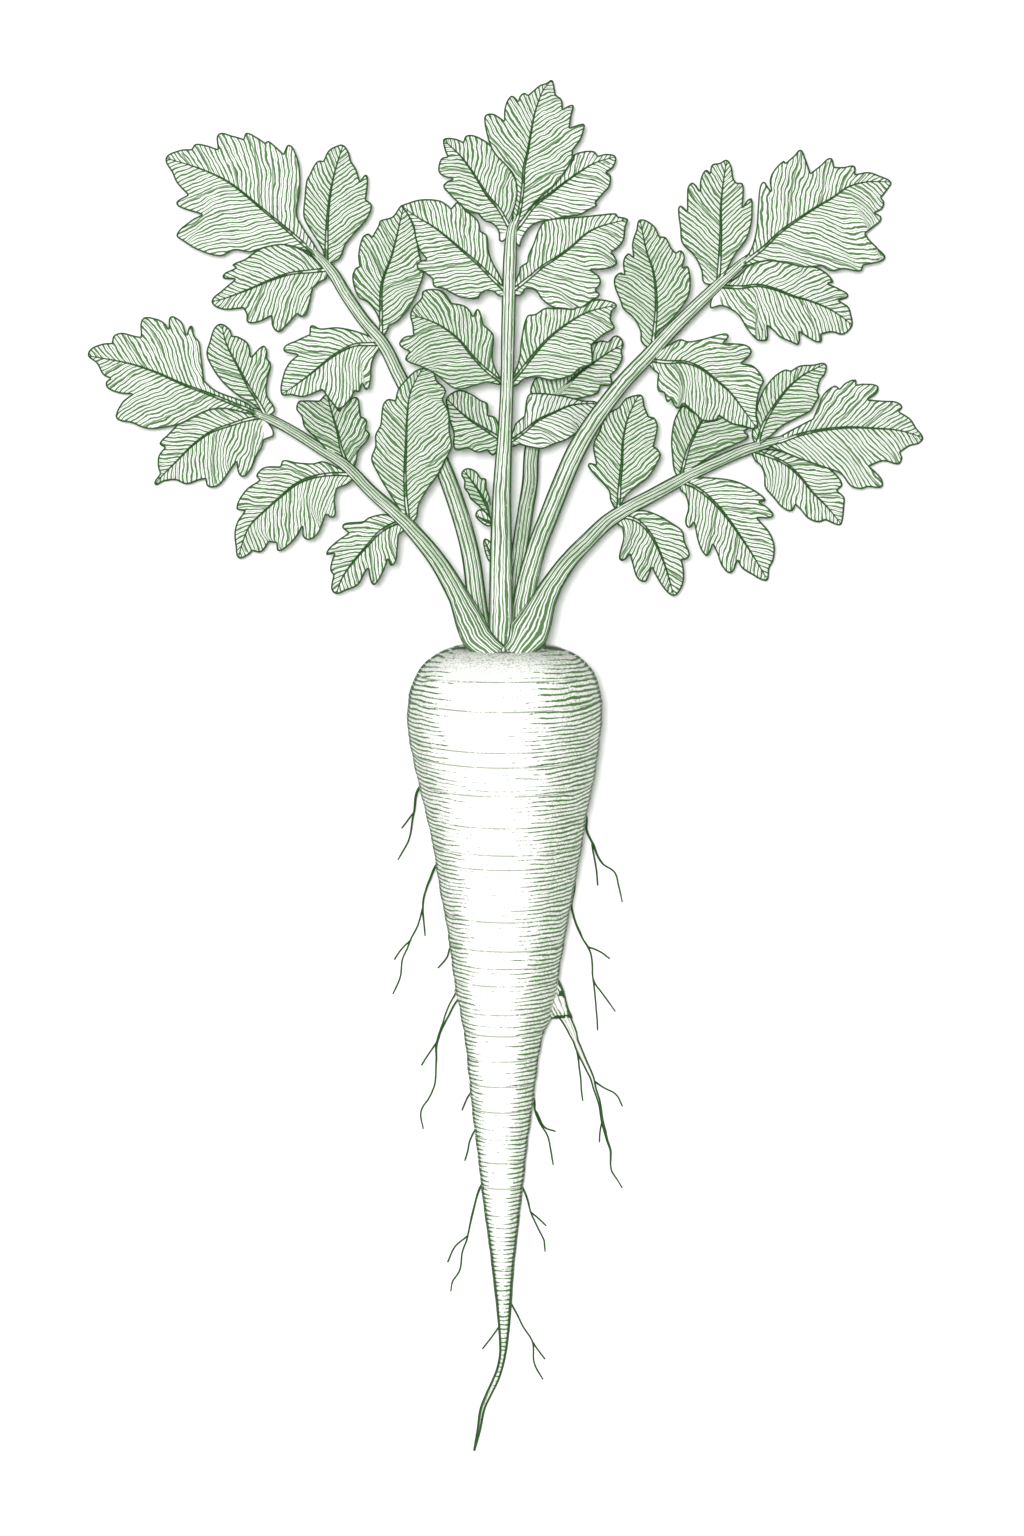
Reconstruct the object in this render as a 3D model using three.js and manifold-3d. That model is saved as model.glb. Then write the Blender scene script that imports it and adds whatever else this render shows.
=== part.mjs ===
// A freshly dug parsnip with its leaves, lying on a table.
// X is across the root, +Y runs from the tail to the leaf tips, +Z is up from the table.
// Plan points are written on a square grid: column to the right, row towards the tail.
import * as THREE from 'three';
import { mergeVertices } from 'three/addons/utils/BufferGeometryUtils.js';
import Module from 'manifold-3d';

const GRID = 0.28; // mm in one step of the plan grid
const MID_COLUMN = 505; // grid column of the root's centre line
const REST_ROW = 790; // grid row of the middle of the resting flat
const BLADE = 0.8; // thickness of a leaf blade
const RIB = 0.4; // how far the midrib stands out below the blade
const RIPPLE = 0.35; // height of the waves along a blade's edge
const VEIN_SLANT = 0.8; // how far side veins lean towards the tip
const TIP_LEAD = 0.1; // an edge is as high as the midrib this far past its vein's root
const CROWN_RADIUS = 11.3;
const CROWN_ROW = 646.6;
const CROWN_LEAN = 1.9; // how far the crown's upper rim leans towards the tail
const CROWN_LEAN_ROWS = 24.4; // rows over which that lean fades out
const FLAT_SINK = 0.4; // depth cut off the underside by the table
const ROOT_SIDES = 30;
const STALK_SIDES = 8;
const ROOTLET_SIDES = 5;

const wasm = await Module();
wasm.setup();

const planX = (column) => (column - MID_COLUMN) * GRID;
const planY = (row) => (REST_ROW - row) * GRID;

// The root's outline: row, left column, right column.
const ROOT_OUTLINE = [
  [648, 452, 559], [650, 445, 565], [653, 438, 573], [657, 431.5, 580], [663, 424, 587],
  [671, 418, 593], [681, 412.5, 597.5], [693, 409, 600.5], [706, 407.5, 602.3],
  [720, 407.3, 602.3], [735, 408.7, 601], [750, 411, 599.2], [768, 414.5, 596.4],
  [790, 419.8, 592.3], [815, 425.8, 587], [842, 431.4, 582.7], [870, 436.6, 577.6],
  [898, 441.4, 573], [926, 446.3, 567.5], [955, 450.6, 562.6], [985, 454.2, 557],
  [1012, 459.5, 549.8], [1042, 465.2, 542], [1075, 468.2, 536.8], [1110, 472, 532.8],
  [1150, 476.3, 527], [1190, 481.3, 522.8], [1225, 485.8, 519], [1262, 490.8, 515],
  [1300, 495, 512.2], [1330, 498, 509.7], [1352, 499, 507], [1368, 496.5, 503.6],
  [1382, 491, 499], [1396, 484.6, 492], [1410, 479.3, 485.6], [1432, 476.2, 481],
  [1452, 472.8, 475.4],
];

// Rootlets: column, row, height, radius at each point, root end first.
const ROOTLETS = [
  [[436, 776, 9, 0.64], [419, 788, 8, 0.59], [414, 812, 5, 0.49], [409, 837, 2.4, 0.44],
    [398, 860, 0.9, 0.32]],
  [[413, 813, 4.6, 0.44], [402, 828, 2.4, 0.32]],
  [[452, 852, 8, 0.64], [436, 866, 7.4, 0.54], [424, 896, 4.4, 0.47], [423, 908, 3.4, 0.44],
    [425, 936, 1.4, 0.32]],
  [[423, 906, 3.6, 0.44], [418, 924, 2.2, 0.39], [410, 942, 1.4, 0.39], [403, 959, 1.1, 0.36],
    [401, 976, 0.9, 0.34], [393, 994, 0.8, 0.3]],
  [[411, 940, 1.5, 0.36], [399, 952, 1, 0.34], [394, 960, 0.8, 0.3]],
  [[462, 932, 6, 0.49], [450, 947, 5, 0.42], [447, 957, 4, 0.39], [438, 969, 2.6, 0.32]],
  [[469, 982, 6, 1.36], [454, 1001, 5.2, 1.1], [444, 1024, 3.6, 0.7], [437, 1041, 2.4, 0.52],
    [436, 1062, 1.6, 0.44], [434, 1088, 1.1, 0.39], [421, 1112, 0.8, 0.34], [423, 1130, 0.7, 0.3]],
  [[437, 1042, 2.4, 0.44], [421, 1066, 0.9, 0.32]],
  [[480, 1078, 4, 0.44], [470, 1096, 3.2, 0.39], [462, 1111, 2, 0.3]],
  [[484, 1116, 4, 0.44], [473, 1134, 3, 0.39], [464, 1161, 1.6, 0.3]],
  [[492, 1172, 3, 0.54], [480, 1188, 2.6, 0.49], [473, 1212, 1.8, 0.44], [467, 1238, 1.2, 0.42],
    [462, 1252, 1, 0.39], [460, 1270, 0.9, 0.36], [452, 1284, 0.8, 0.34], [450, 1292, 0.7, 0.3]],
  [[467, 1237, 1.2, 0.39], [455, 1247, 1, 0.35], [448, 1263, 0.8, 0.3]],
  [[505, 1318, 1.3, 0.39], [496, 1332, 1, 0.35], [483, 1350, 0.7, 0.3]],
  [[572, 798, 9, 0.64], [586, 816, 7.6, 0.54], [586, 829, 6.4, 0.49], [593, 845, 4.8, 0.47],
    [602, 863, 3, 0.42], [615, 873, 1.8, 0.39], [619, 886, 1.2, 0.35], [623, 902, 0.8, 0.3]],
  [[592, 844, 4.9, 0.39], [596, 866, 3, 0.35], [598, 885, 1.6, 0.3]],
  [[562, 862, 8, 0.64], [574, 880, 7, 0.56], [572, 908, 4.8, 0.49], [581, 936, 2.8, 0.47],
    [589, 948, 2, 0.44], [593, 964, 1.5, 0.39], [593, 979, 1.2, 0.36], [604, 995, 1, 0.34],
    [615, 1012, 0.8, 0.3]],
  [[588, 947, 2, 0.39], [599, 952, 1.4, 0.35], [610, 959, 0.9, 0.3]],
  [[593, 978, 1.2, 0.35], [596, 1001, 0.9, 0.32], [598, 1030, 0.7, 0.3]],
  [[532, 968, 9, 5.2], [550, 990, 7.6, 3.8], [561, 1010, 6, 2.2], [572, 1031, 4.4, 1.4],
    [581.5, 1056, 3, 1.05], [592.5, 1080, 2, 0.8], [599, 1103, 1.5, 0.65], [602, 1122, 1.2, 0.6],
    [610, 1149, 1, 0.5], [612, 1169, 0.8, 0.36], [623, 1189, 0.7, 0.3]],
  [[593, 1081, 2, 0.49], [604, 1088, 1.5, 0.39], [615, 1094, 1, 0.35], [623, 1107, 0.7, 0.3]],
  [[602, 1121, 1.2, 0.39], [599, 1143, 0.8, 0.31]],
  [[573, 1034, 4, 0.54], [578, 1058, 2.6, 0.39], [581, 1083, 1.5, 0.35], [583, 1101, 0.9, 0.3]],
  [[522, 1078, 4.4, 0.59], [534, 1100, 3.4, 0.49], [537, 1118, 2.6, 0.42], [547, 1136, 1.6, 0.39],
    [550, 1148, 1.2, 0.35], [554, 1165, 0.8, 0.3]],
  [[536, 1112, 2.8, 0.39], [544, 1127, 1.8, 0.34], [555, 1132, 1, 0.3]],
  [[512, 1172, 3, 0.54], [524, 1192, 2.4, 0.44], [532, 1216, 1.5, 0.39], [542, 1237, 1, 0.34],
    [546, 1252, 0.7, 0.3]],
  [[531, 1213, 1.6, 0.36], [546, 1226, 0.9, 0.3]],
  [[502, 1290, 1.6, 0.49], [513, 1307, 1.3, 0.42], [523, 1327, 1.1, 0.39], [533, 1344, 0.9, 0.36],
    [534, 1363, 0.8, 0.34], [542, 1380, 0.7, 0.3]],
  [[532, 1342, 0.9, 0.35], [544, 1360, 0.7, 0.3]],
];

// Each leaf: stalk rows are column, row, height, half width, half depth from the crown outwards.
// Each leaflet: midrib from stalk to tip, its two edges in the same sense, the tip's height,
// and how far each edge stands above (or droops below) the midrib.
const LEAVES = [
  {
    name: 'leaf_centre', colour: 0x7f9b6c,
    stalk: [
      [501, 646, 30.8, 3.7, 2.4], [501, 622, 31.6, 3.6, 2.5], [501, 600, 32.8, 3.5, 2.7],
      [501, 547, 33.6, 3.2, 2.7],
      [502, 490, 32, 2.7, 2.5], [505, 430, 30, 2.1, 2.1], [507, 383, 28.4, 1.9, 1.9],
      [508, 333, 26.4, 2, 1.8], [509, 290, 24.4, 2, 1.7], [510, 258, 22.4, 2, 1.6],
      [512, 231, 20.4, 1.6, 1.3], [518, 210, 18.8, 1, 0.9], [523, 186, 17.2, 0.7, 0.7],
    ],
    leaflets: [
      {
        rib: [[513, 231], [519, 213], [523, 186], [524, 168], [528, 150], [531, 132], [535, 112], [543, 90],
          [552, 79]],
        a: [[512, 214], [516, 195], [514, 177], [506, 166], [497, 157], [491, 148], [486, 132], [484, 118],
          [486, 114], [492, 113], [497, 115], [504, 120], [504, 110], [507, 100], [512, 95], [518, 100],
          [520, 95], [524, 92], [528, 94], [535, 88], [540, 84], [546, 82]],
        b: [[521, 222], [535, 203], [555, 185], [568, 168], [573, 157], [573, 150], [580, 141], [583, 134],
          [585, 125], [583, 123], [570, 127], [572, 114], [574, 105], [571, 104], [563, 108], [562, 99],
          [556, 94], [554, 83]],
        tipHeight: 8, lift: [0.8, 0.8],
      },
      {
        rib: [[512, 232], [499, 209], [488, 196], [479, 182], [470, 168], [459, 154], [443, 139]],
        a: [[514, 212], [518, 198], [517, 182], [509, 167], [499, 155], [489, 143], [475, 135], [466, 135],
          [463, 141], [456, 138], [447, 137]],
        b: [[501, 242], [498, 231], [492, 224], [484, 221], [478, 214], [468, 212], [459, 204], [448, 193],
          [443, 186], [447, 181], [452, 179], [441, 175], [438, 169], [441, 158], [447, 156], [444, 148]],
        tipHeight: 11.5, lift: [-1.4, 0.6],
      },
      {
        rib: [[514, 234], [519, 226], [535, 205], [551, 193], [565, 182], [582, 170], [596, 162], [616, 156]],
        a: [[528, 203], [545, 187], [560, 170], [573, 159], [574, 154], [582, 151], [589, 150], [595, 151],
          [598, 155], [607, 153]],
        b: [[519, 247], [522, 240], [529, 229], [538, 223], [553, 220], [567, 217], [580, 215], [591, 209],
          [597, 206], [596, 202], [605, 192], [610, 186], [611, 175], [607, 172], [614, 166]],
        tipHeight: 10.5, lift: [-1.2, 0.6],
      },
      {
        rib: [[508, 294], [492, 278], [477, 263], [463, 251], [448, 238], [434, 227], [416, 216], [402, 206]],
        a: [[500, 275], [492, 260], [489, 250], [488, 237], [486, 234], [481, 231], [478, 220], [466, 210],
          [461, 204], [457, 202], [451, 208], [448, 205], [439, 200], [421, 199], [409, 202]],
        b: [[500, 297], [493, 292], [486, 291], [481, 294], [478, 299], [461, 298], [452, 294], [443, 289],
          [434, 287], [432, 279], [423, 272], [418, 270], [417, 263], [426, 259], [419, 250], [415, 238],
          [413, 226], [407, 214]],
        tipHeight: 16.5, lift: [0.4, 0.9],
      },
      {
        rib: [[510, 294], [529, 278], [542, 267], [556, 258], [571, 247], [587, 233], [601, 226], [628, 219]],
        a: [[519, 272], [520, 267], [527, 262], [528, 255], [533, 244], [539, 228], [546, 220], [571, 217],
          [583, 216], [601, 214], [616, 213], [618, 216]],
        b: [[520, 296], [526, 289], [533, 290], [538, 294], [540, 298], [551, 307], [567, 310], [580, 309],
          [592, 301], [600, 295], [596, 290], [601, 283], [599, 276], [591, 270], [607, 269], [617, 264],
          [616, 258], [612, 252], [618, 248], [624, 240], [626, 226]],
        tipHeight: 15.5, lift: [0.4, 0.9],
      },
      {
        rib: [[506, 386], [487, 371], [473, 357], [460, 341], [444, 328], [428, 320], [410, 315]],
        a: [[497, 371], [493, 359], [494, 336], [491, 331], [484, 325], [480, 311], [477, 309], [473, 316],
          [469, 309], [463, 305], [452, 303], [444, 292], [434, 289], [423, 291], [421, 298], [413, 307]],
        b: [[497, 385], [487, 383], [479, 385], [460, 390], [452, 388], [434, 374], [420, 367], [409, 363],
          [405, 359], [409, 352], [403, 349], [399, 344], [404, 337], [413, 335], [412, 325]],
        tipHeight: 24.4, lift: [0.6, 0.8],
      },
      {
        rib: [[508, 388], [521, 371], [532, 357], [548, 339], [567, 324], [588, 312], [617, 305]],
        a: [[515, 370], [519, 357], [521, 339], [527, 316], [535, 314], [545, 308], [556, 308], [583, 306],
          [593, 300], [607, 300]],
        b: [[517, 386], [524, 380], [537, 378], [551, 381], [572, 376], [580, 369], [591, 365], [593, 360],
          [592, 345], [604, 335], [611, 331], [615, 328], [611, 320], [612, 312]],
        tipHeight: 22.5, lift: [0.6, 0.8],
      },
      {
        rib: [[503, 442], [486, 430], [470, 420], [456, 408], [446, 398]],
        a: [[496, 418], [488, 415], [488, 404], [481, 400], [470, 393], [458, 390]],
        b: [[497, 452], [493, 456], [487, 451], [477, 453], [468, 449], [455, 450], [453, 432], [449, 420],
          [447, 408]],
        tipHeight: 20.2, lift: [0.4, -0.6],
      },
      {
        rib: [[505, 446], [524, 432], [537, 421], [553, 413], [572, 405], [598, 403]],
        a: [[513, 430], [515, 424], [524, 416], [527, 397], [532, 393], [561, 395], [583, 400]],
        b: [[514, 447], [519, 445], [532, 448], [543, 449], [556, 444], [567, 440], [582, 429], [594, 417]],
        tipHeight: 13.8, lift: [0.4, -2],
      },
    ],
  },
  {
    name: 'leaf_upper_left', colour: 0x86a172,
    stalk: [
      [481, 641.5, 23.6, 3.6, 2.6], [478, 612, 22.6, 2.9, 2.6], [469, 547, 20.6, 2.6, 2.5],
      [450, 485, 19, 2.5, 2.3], [425, 425, 18, 2.2, 2.1], [399, 375, 17.4, 2, 1.9],
      [384, 345, 16.8, 1.9, 1.8], [363, 319, 15.8, 1.8, 1.7], [346, 294, 14.6, 1.8, 1.6],
      [333, 273, 13.5, 1.7, 1.5], [315, 253, 12.2, 1.2, 1.1], [290, 232, 10.8, 0.8, 0.8],
    ],
    leaflets: [
      {
        rib: [[322, 264], [296, 237], [265, 211], [229, 182], [200, 168], [165, 157]],
        a: [[316, 246], [302, 225], [297, 213], [300, 191], [300, 171], [297, 156], [289, 144], [283, 153],
          [279, 149], [268, 140], [265, 142], [256, 136], [246, 132], [243, 138], [233, 135], [218, 133],
          [217, 148], [205, 144], [195, 143], [191, 148], [179, 149]],
        b: [[308, 252], [284, 245], [267, 247], [250, 252], [234, 250], [220, 256], [198, 250], [183, 241],
          [176, 234], [190, 220], [201, 214], [178, 206], [176, 201], [187, 194], [176, 182], [172, 173]],
        tipHeight: 2.4, lift: [0.8, 1.2],
      },
      {
        rib: [[330, 262], [327, 225], [330, 194], [335, 170], [343, 144]],
        a: [[322, 250], [307, 225], [303, 215], [304, 198], [306, 180], [309, 174], [314, 164], [318, 160],
          [323, 160], [328, 150], [336, 145]],
        b: [[340, 258], [346, 244], [356, 232], [367, 219], [372, 205], [366, 199], [368, 182], [366, 174],
          [360, 180], [356, 168], [351, 160], [349, 152]],
        tipHeight: 8.5, lift: [0.6, 0.8],
      },
      {
        rib: [[385, 338], [381, 314], [382, 283], [392, 254], [404, 204]],
        a: [[378, 318], [368, 303], [358, 297], [352, 278], [355, 268], [359, 266], [358, 254], [362, 237],
          [368, 233], [372, 236], [378, 225], [380, 220], [392, 216]],
        b: [[388, 330], [389, 326], [398, 321], [408, 310], [415, 298], [421, 284], [424, 272], [419, 250],
          [418, 240], [412, 220]],
        tipHeight: 11, lift: [0.7, 0.7],
      },
      {
        rib: [[326, 272], [310, 271], [291, 273], [272, 279], [248, 289], [224, 298], [211, 301]],
        a: [[314, 257], [300, 248], [284, 242], [268, 244], [256, 250], [245, 258], [232, 264], [235, 267],
          [222, 276], [234, 279],
          [222, 289]],
        b: [[326, 279], [320, 282], [313, 288], [310, 302], [307, 313], [302, 317], [297, 314], [284, 328],
          [278, 332], [272, 326], [271, 316], [258, 322], [247, 322], [246, 314], [243, 308], [222, 309]],
        tipHeight: 5.6, lift: [-1.2, 0.7],
      },
      {
        rib: [[378, 348], [368, 344], [354, 345], [334, 355], [310, 374], [291, 388], [281, 394]],
        a: [[366, 334], [339, 327], [320, 328], [311, 325], [309, 334], [298, 339], [283, 349], [297, 355],
          [289, 362], [283, 374]],
        b: [[376, 354], [372, 365], [371, 380], [367, 390], [362, 384], [359, 392], [355, 391], [350, 400],
          [339, 409], [331, 402], [322, 390], [303, 397], [291, 395]],
        tipHeight: 12.6, lift: [0.6, 0.7],
      },
    ],
  },
  {
    name: 'leaf_lower_left', colour: 0x7a9767,
    stalk: [
      [489, 648.6, 36.2, 3.6, 2], [477, 637, 35, 4.4, 2.2], [470, 622, 33.2, 4.2, 2.4],
      [459, 597, 30.8, 3.1, 2.5],
      [437, 560, 28, 2.5, 2.3], [410, 527, 26, 2.1, 2], [399, 516, 25.2, 2, 1.9],
      [372, 492, 22.4, 1.8, 1.8], [345, 465, 19.4, 1.7, 1.7], [318, 447, 17, 1.6, 1.6],
      [291, 430, 14.6, 1.5, 1.5], [264, 416, 12.4, 1.4, 1.3], [237, 405, 10.4, 1, 0.9],
      [215, 396, 9, 0.7, 0.7],
    ],
    leaflets: [
      {
        rib: [[264, 414], [237, 405], [210, 394], [183, 384], [156, 372], [129, 363], [87, 355]],
        a: [[246, 402], [216, 390], [204, 380], [201, 354], [199, 341], [194, 335], [191, 325], [186, 334],
          [183, 324], [179, 319], [170, 316], [168, 328], [165, 323], [156, 318], [142, 318], [140, 336],
          [134, 335], [121, 332], [113, 335], [111, 342], [101, 343], [90, 348]],
        b: [[248, 414], [226, 409], [210, 410], [196, 416], [180, 424], [167, 427], [151, 429], [141, 427],
          [132, 423], [118, 420], [115, 415], [122, 401], [131, 394], [119, 393], [107, 388], [105, 382],
          [109, 378], [102, 374], [96, 363]],
        tipHeight: 1.7, lift: [0.8, 1.2],
      },
      {
        rib: [[268, 414], [258, 402], [248, 386], [237, 365], [226, 343], [221, 323]],
        a: [[252, 404], [238, 396], [222, 382], [212, 368], [206, 354], [209, 341], [214, 327]],
        b: [[275, 410], [267, 394], [268, 378], [271, 364], [267, 358], [267, 350], [263, 345], [251, 356],
          [248, 343], [238, 336], [232, 335], [230, 329]],
        tipHeight: 8.5, lift: [1, 0.8],
      },
      {
        rib: [[352, 470], [342, 451], [337, 430], [331, 410], [327, 394]],
        a: [[340, 463], [326, 450], [315, 438], [304, 427], [301, 416], [296, 409], [298, 401], [302, 400],
          [319, 400]],
        b: [[356, 464], [359, 451], [368, 440], [370, 434], [366, 429], [367, 420], [361, 416], [360, 408],
          [357, 397], [346, 401], [339, 410]],
        tipHeight: 10.4, lift: [0.4, 0.4],
      },
      {
        rib: [[410, 525], [406, 500], [405, 473], [406, 446], [407, 419], [410, 394], [417, 378], [424, 368]],
        a: [[399, 510], [396, 505], [383, 484], [377, 473], [371, 459], [375, 446], [375, 435], [380, 425],
          [381, 416], [383, 404], [388, 399], [395, 400], [398, 389], [407, 378], [416, 370]],
        b: [[417, 518], [419, 506], [427, 491], [439, 474], [446, 460], [452, 447], [450, 430], [449, 412],
          [443, 400], [446, 390], [437, 380], [434, 372]],
        tipHeight: 22.4, lift: [0.7, 0.5],
      },
      {
        rib: [[264, 418], [248, 419], [232, 424], [210, 432], [191, 446], [178, 459], [161, 476], [154, 484]],
        a: [[250, 409], [236, 405], [222, 404], [208, 405], [195, 411], [181, 420], [167, 434], [159, 443],
          [164, 447], [158, 455],
          [157, 465], [159, 473]],
        b: [[274, 434], [264, 440], [261, 449], [257, 455], [251, 469], [243, 477], [238, 473], [236, 462],
          [229, 472], [222, 482], [215, 487], [207, 486], [205, 479], [199, 480], [186, 484], [175, 480],
          [164, 481]],
        tipHeight: 3.6, lift: [-1.2, 0.7],
      },
      {
        rib: [[352, 478], [334, 474], [313, 477], [296, 484], [280, 497], [264, 511], [250, 525], [243, 540],
          [238, 558]],
        a: [[340, 468], [323, 461], [313, 463], [296, 462], [283, 460], [280, 466], [264, 467], [256, 475],
          [259, 480], [245, 490], [236, 508], [244, 511], [237, 521], [234, 532], [235, 546]],
        b: [[350, 483], [337, 489], [335, 500], [336, 513], [333, 518], [326, 515], [318, 534], [309, 540],
          [303, 537], [302, 527], [298, 535], [288, 546], [278, 551], [276, 543], [269, 542], [261, 552],
          [252, 551], [248, 555]],
        tipHeight: 7, lift: [0.5, 0.7],
      },
      {
        rib: [[402, 524], [394, 524], [380, 532], [367, 546], [353, 562], [342, 578], [336, 594]],
        a: [[396, 519], [385, 514], [369, 517], [363, 521], [345, 523], [342, 527], [348, 533], [334, 543],
          [326, 554], [334, 554], [331, 562], [330, 570], [333, 575], [331, 589]],
        b: [[404, 531], [399, 535], [398, 548], [396, 562], [391, 566], [388, 560], [383, 573], [375, 585],
          [371, 583], [368, 569], [365, 573], [358, 585], [345, 591]],
        tipHeight: 13, lift: [0.5, 0.7],
      },
    ],
  },
  {
    name: 'leaf_upper_right', colour: 0x83a06f,
    stalk: [
      [521, 641.5, 23.4, 3.8, 2.6], [524, 600, 23.2, 3.1, 2.6], [536, 550, 23.2, 2.8, 2.5],
      [548, 518, 23.2, 2.8, 2.4], [561, 485, 23.1, 2.8, 2.4], [575, 453, 22.8, 2.8, 2.3],
      [588, 430, 22.4, 2.6, 2.2], [606, 404, 21.8, 2.4, 2.1], [625, 380, 21, 2.3, 2],
      [648, 356, 20, 2.2, 1.9], [672, 330, 18.6, 2, 1.8], [705, 297, 16.2, 1.8, 1.6],
      [741, 264, 13.2, 1.4, 1.2], [765, 246, 11.4, 0.8, 0.8],
    ],
    leaflets: [
      {
        rib: [[735, 269], [763, 248], [780, 232], [798, 219], [816, 207], [833, 197], [849, 186], [868, 181],
          [892, 181]],
        a: [[750, 250], [756, 230], [758, 204], [760, 186], [764, 181], [768, 186], [771, 190], [770, 178],
          [776, 167], [784, 160], [786, 162], [794, 155], [801, 149], [806, 158], [811, 172], [820, 165],
          [831, 157], [835, 166], [844, 166], [855, 165], [856, 173], [869, 171], [879, 174]],
        b: [[750, 265], [767, 261], [785, 263], [804, 267], [822, 266], [831, 271], [844, 269], [861, 271],
          [864, 265], [882, 261], [886, 256], [879, 248], [870, 239], [866, 233], [875, 226], [881, 221],
          [882, 216], [876, 212], [883, 208], [885, 201], [882, 197], [889, 188]],
        tipHeight: 2.4, lift: [0.8, 1.2],
      },
      {
        rib: [[717, 284], [720, 256], [721, 230], [721, 208], [723, 186], [727, 159]],
        a: [[704, 283], [701, 270], [694, 256], [682, 243], [680, 228], [678, 208], [681, 205], [687, 210],
          [687, 195], [688, 186], [693, 182], [700, 190], [700, 181], [703, 172], [707, 169], [710, 172],
          [712, 164], [720, 162]],
        b: [[724, 277], [728, 269], [736, 254], [747, 239], [752, 223], [753, 208], [752, 198], [748, 199],
          [743, 206], [744, 195], [743, 183], [737, 182], [734, 178], [732, 166]],
        tipHeight: 9.5, lift: [0.7, 0.7],
      },
      {
        rib: [[650, 350], [656, 314], [656, 292], [653, 270], [647, 252], [643, 234], [640, 219]],
        a: [[641, 342], [640, 331], [633, 318], [623, 309], [620, 301], [614, 285], [615, 276], [621, 272],
          [624, 274], [623, 261], [628, 253], [633, 256], [632, 243], [636, 230]],
        b: [[657, 334], [670, 322], [681, 309], [689, 296], [691, 283], [690, 272], [688, 266], [683, 267],
          [685, 256], [681, 250], [676, 252], [672, 248], [666, 237], [660, 236], [654, 225]],
        tipHeight: 14, lift: [0.7, 0.7],
      },
      {
        rib: [[722, 291], [741, 287], [758, 285], [776, 289], [794, 296], [809, 300], [827, 307], [842, 316],
          [853, 325]],
        a: [[736, 277], [750, 264], [768, 257], [788, 259], [809, 264], [824, 270], [834, 281], [829, 283],
          [840, 288],
          [849, 295], [840, 300], [849, 306], [852, 314]],
        b: [[710, 307], [721, 306], [730, 309], [739, 316], [747, 329], [757, 340], [763, 341], [768, 339],
          [768, 326], [774, 331], [780, 337], [791, 342], [799, 344], [800, 332], [809, 338], [817, 342],
          [822, 341], [822, 334], [832, 332], [844, 334]],
        tipHeight: 4.6, lift: [-1.4, 0.7],
      },
      {
        rib: [[652, 366], [666, 362], [684, 362], [699, 367], [714, 378], [730, 392], [741, 406], [757, 428]],
        a: [[664, 347], [680, 339], [688, 341], [701, 339], [725, 333], [729, 336], [724, 343], [734, 343],
          [747, 345], [752, 351], [748, 358], [742, 363], [754, 366], [764, 380], [761, 388], [758, 400],
          [757, 415]],
        b: [[653, 370], [658, 374], [657, 381], [658, 391], [664, 393], [667, 402], [671, 400], [674, 406],
          [678, 409], [684, 404], [695, 414], [703, 421], [717, 420], [719, 416], [732, 424], [741, 426]],
        tipHeight: 15.2, lift: [0.6, 0.6],
      },
    ],
  },
  {
    name: 'leaf_lower_right', colour: 0x7c996a,
    stalk: [
      [519, 648.6, 36.2, 3.9, 2], [528, 634, 34.8, 5.7, 2.2], [536, 618, 32.8, 4.8, 2.4],
      [543, 602, 30.8, 3.7, 2.4],
      [553, 583, 28.3, 3, 2.4], [570, 559, 26, 2.5, 2.3], [588, 540, 23.6, 2.3, 2.2],
      [607, 522, 21.4, 2.2, 2.1], [627, 509, 19.6, 2.1, 2], [649, 497, 17.8, 2, 1.9],
      [676, 482, 15.8, 1.9, 1.8], [712, 464, 13.4, 1.8, 1.6], [745, 450, 11.4, 1.7, 1.4],
      [780, 440, 9.6, 1.3, 1.1], [810, 432, 8.2, 0.8, 0.8],
    ],
    leaflets: [
      {
        rib: [[765, 446], [781, 441], [801, 434], [826, 429], [851, 427], [877, 428], [900, 430], [924, 437]],
        a: [[790, 430], [813, 418], [818, 406], [824, 393], [835, 385], [840, 388], [846, 382], [856, 379],
          [857, 384], [864, 383], [878, 385], [878, 392], [869, 399], [884, 400], [897, 401], [903, 406],
          [900, 411], [911, 418], [917, 427]],
        b: [[783, 452], [803, 460], [823, 467], [841, 474], [851, 486], [861, 489], [868, 487], [882, 487],
          [883, 480], [877, 472], [870, 466], [884, 461], [899, 464], [903, 458], [901, 452], [910, 446],
          [920, 443]],
        tipHeight: 1.7, lift: [0.8, 1.2],
      },
      {
        rib: [[757, 447], [763, 426], [773, 408], [788, 388], [803, 375], [816, 368], [826, 363]],
        a: [[752, 437], [753, 424], [756, 408], [762, 392], [767, 384], [775, 375], [785, 369], [791, 370],
          [800, 365], [813, 364]],
        b: [[768, 439], [783, 426], [798, 418], [811, 411], [816, 403], [820, 396], [818, 391], [821, 380],
          [826, 373]],
        tipHeight: 8.4, lift: [0.5, 0.7],
      },
      {
        rib: [[680, 480], [688, 450], [698, 428], [710, 408], [722, 392]],
        a: [[674, 471], [672, 456], [671, 441], [673, 424], [677, 413], [684, 405], [692, 411], [699, 399],
          [710, 392]],
        b: [[692, 470], [712, 456], [737, 444], [749, 437], [745, 431], [752, 425], [742, 411], [738, 403],
          [731, 396]],
        tipHeight: 11.2, lift: [0.5, 0.5],
      },
      {
        rib: [[618, 515], [620, 482], [622, 462], [623, 441], [627, 421], [633, 406], [639, 394]],
        a: [[610, 500], [609, 492], [603, 484], [597, 478], [588, 467], [589, 463], [596, 464], [593, 449],
          [594, 441], [599, 431], [602, 421], [607, 413], [618, 407], [626, 398]],
        b: [[625, 498], [633, 490], [649, 477], [657, 464], [661, 455], [658, 449], [654, 446], [656, 439],
          [658, 426], [655, 418], [649, 416], [645, 406], [643, 396]],
        tipHeight: 14, lift: [0.2, 0.7],
      },
      {
        rib: [[752, 457], [775, 458], [788, 465], [801, 477], [813, 492], [828, 507], [842, 524]],
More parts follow.
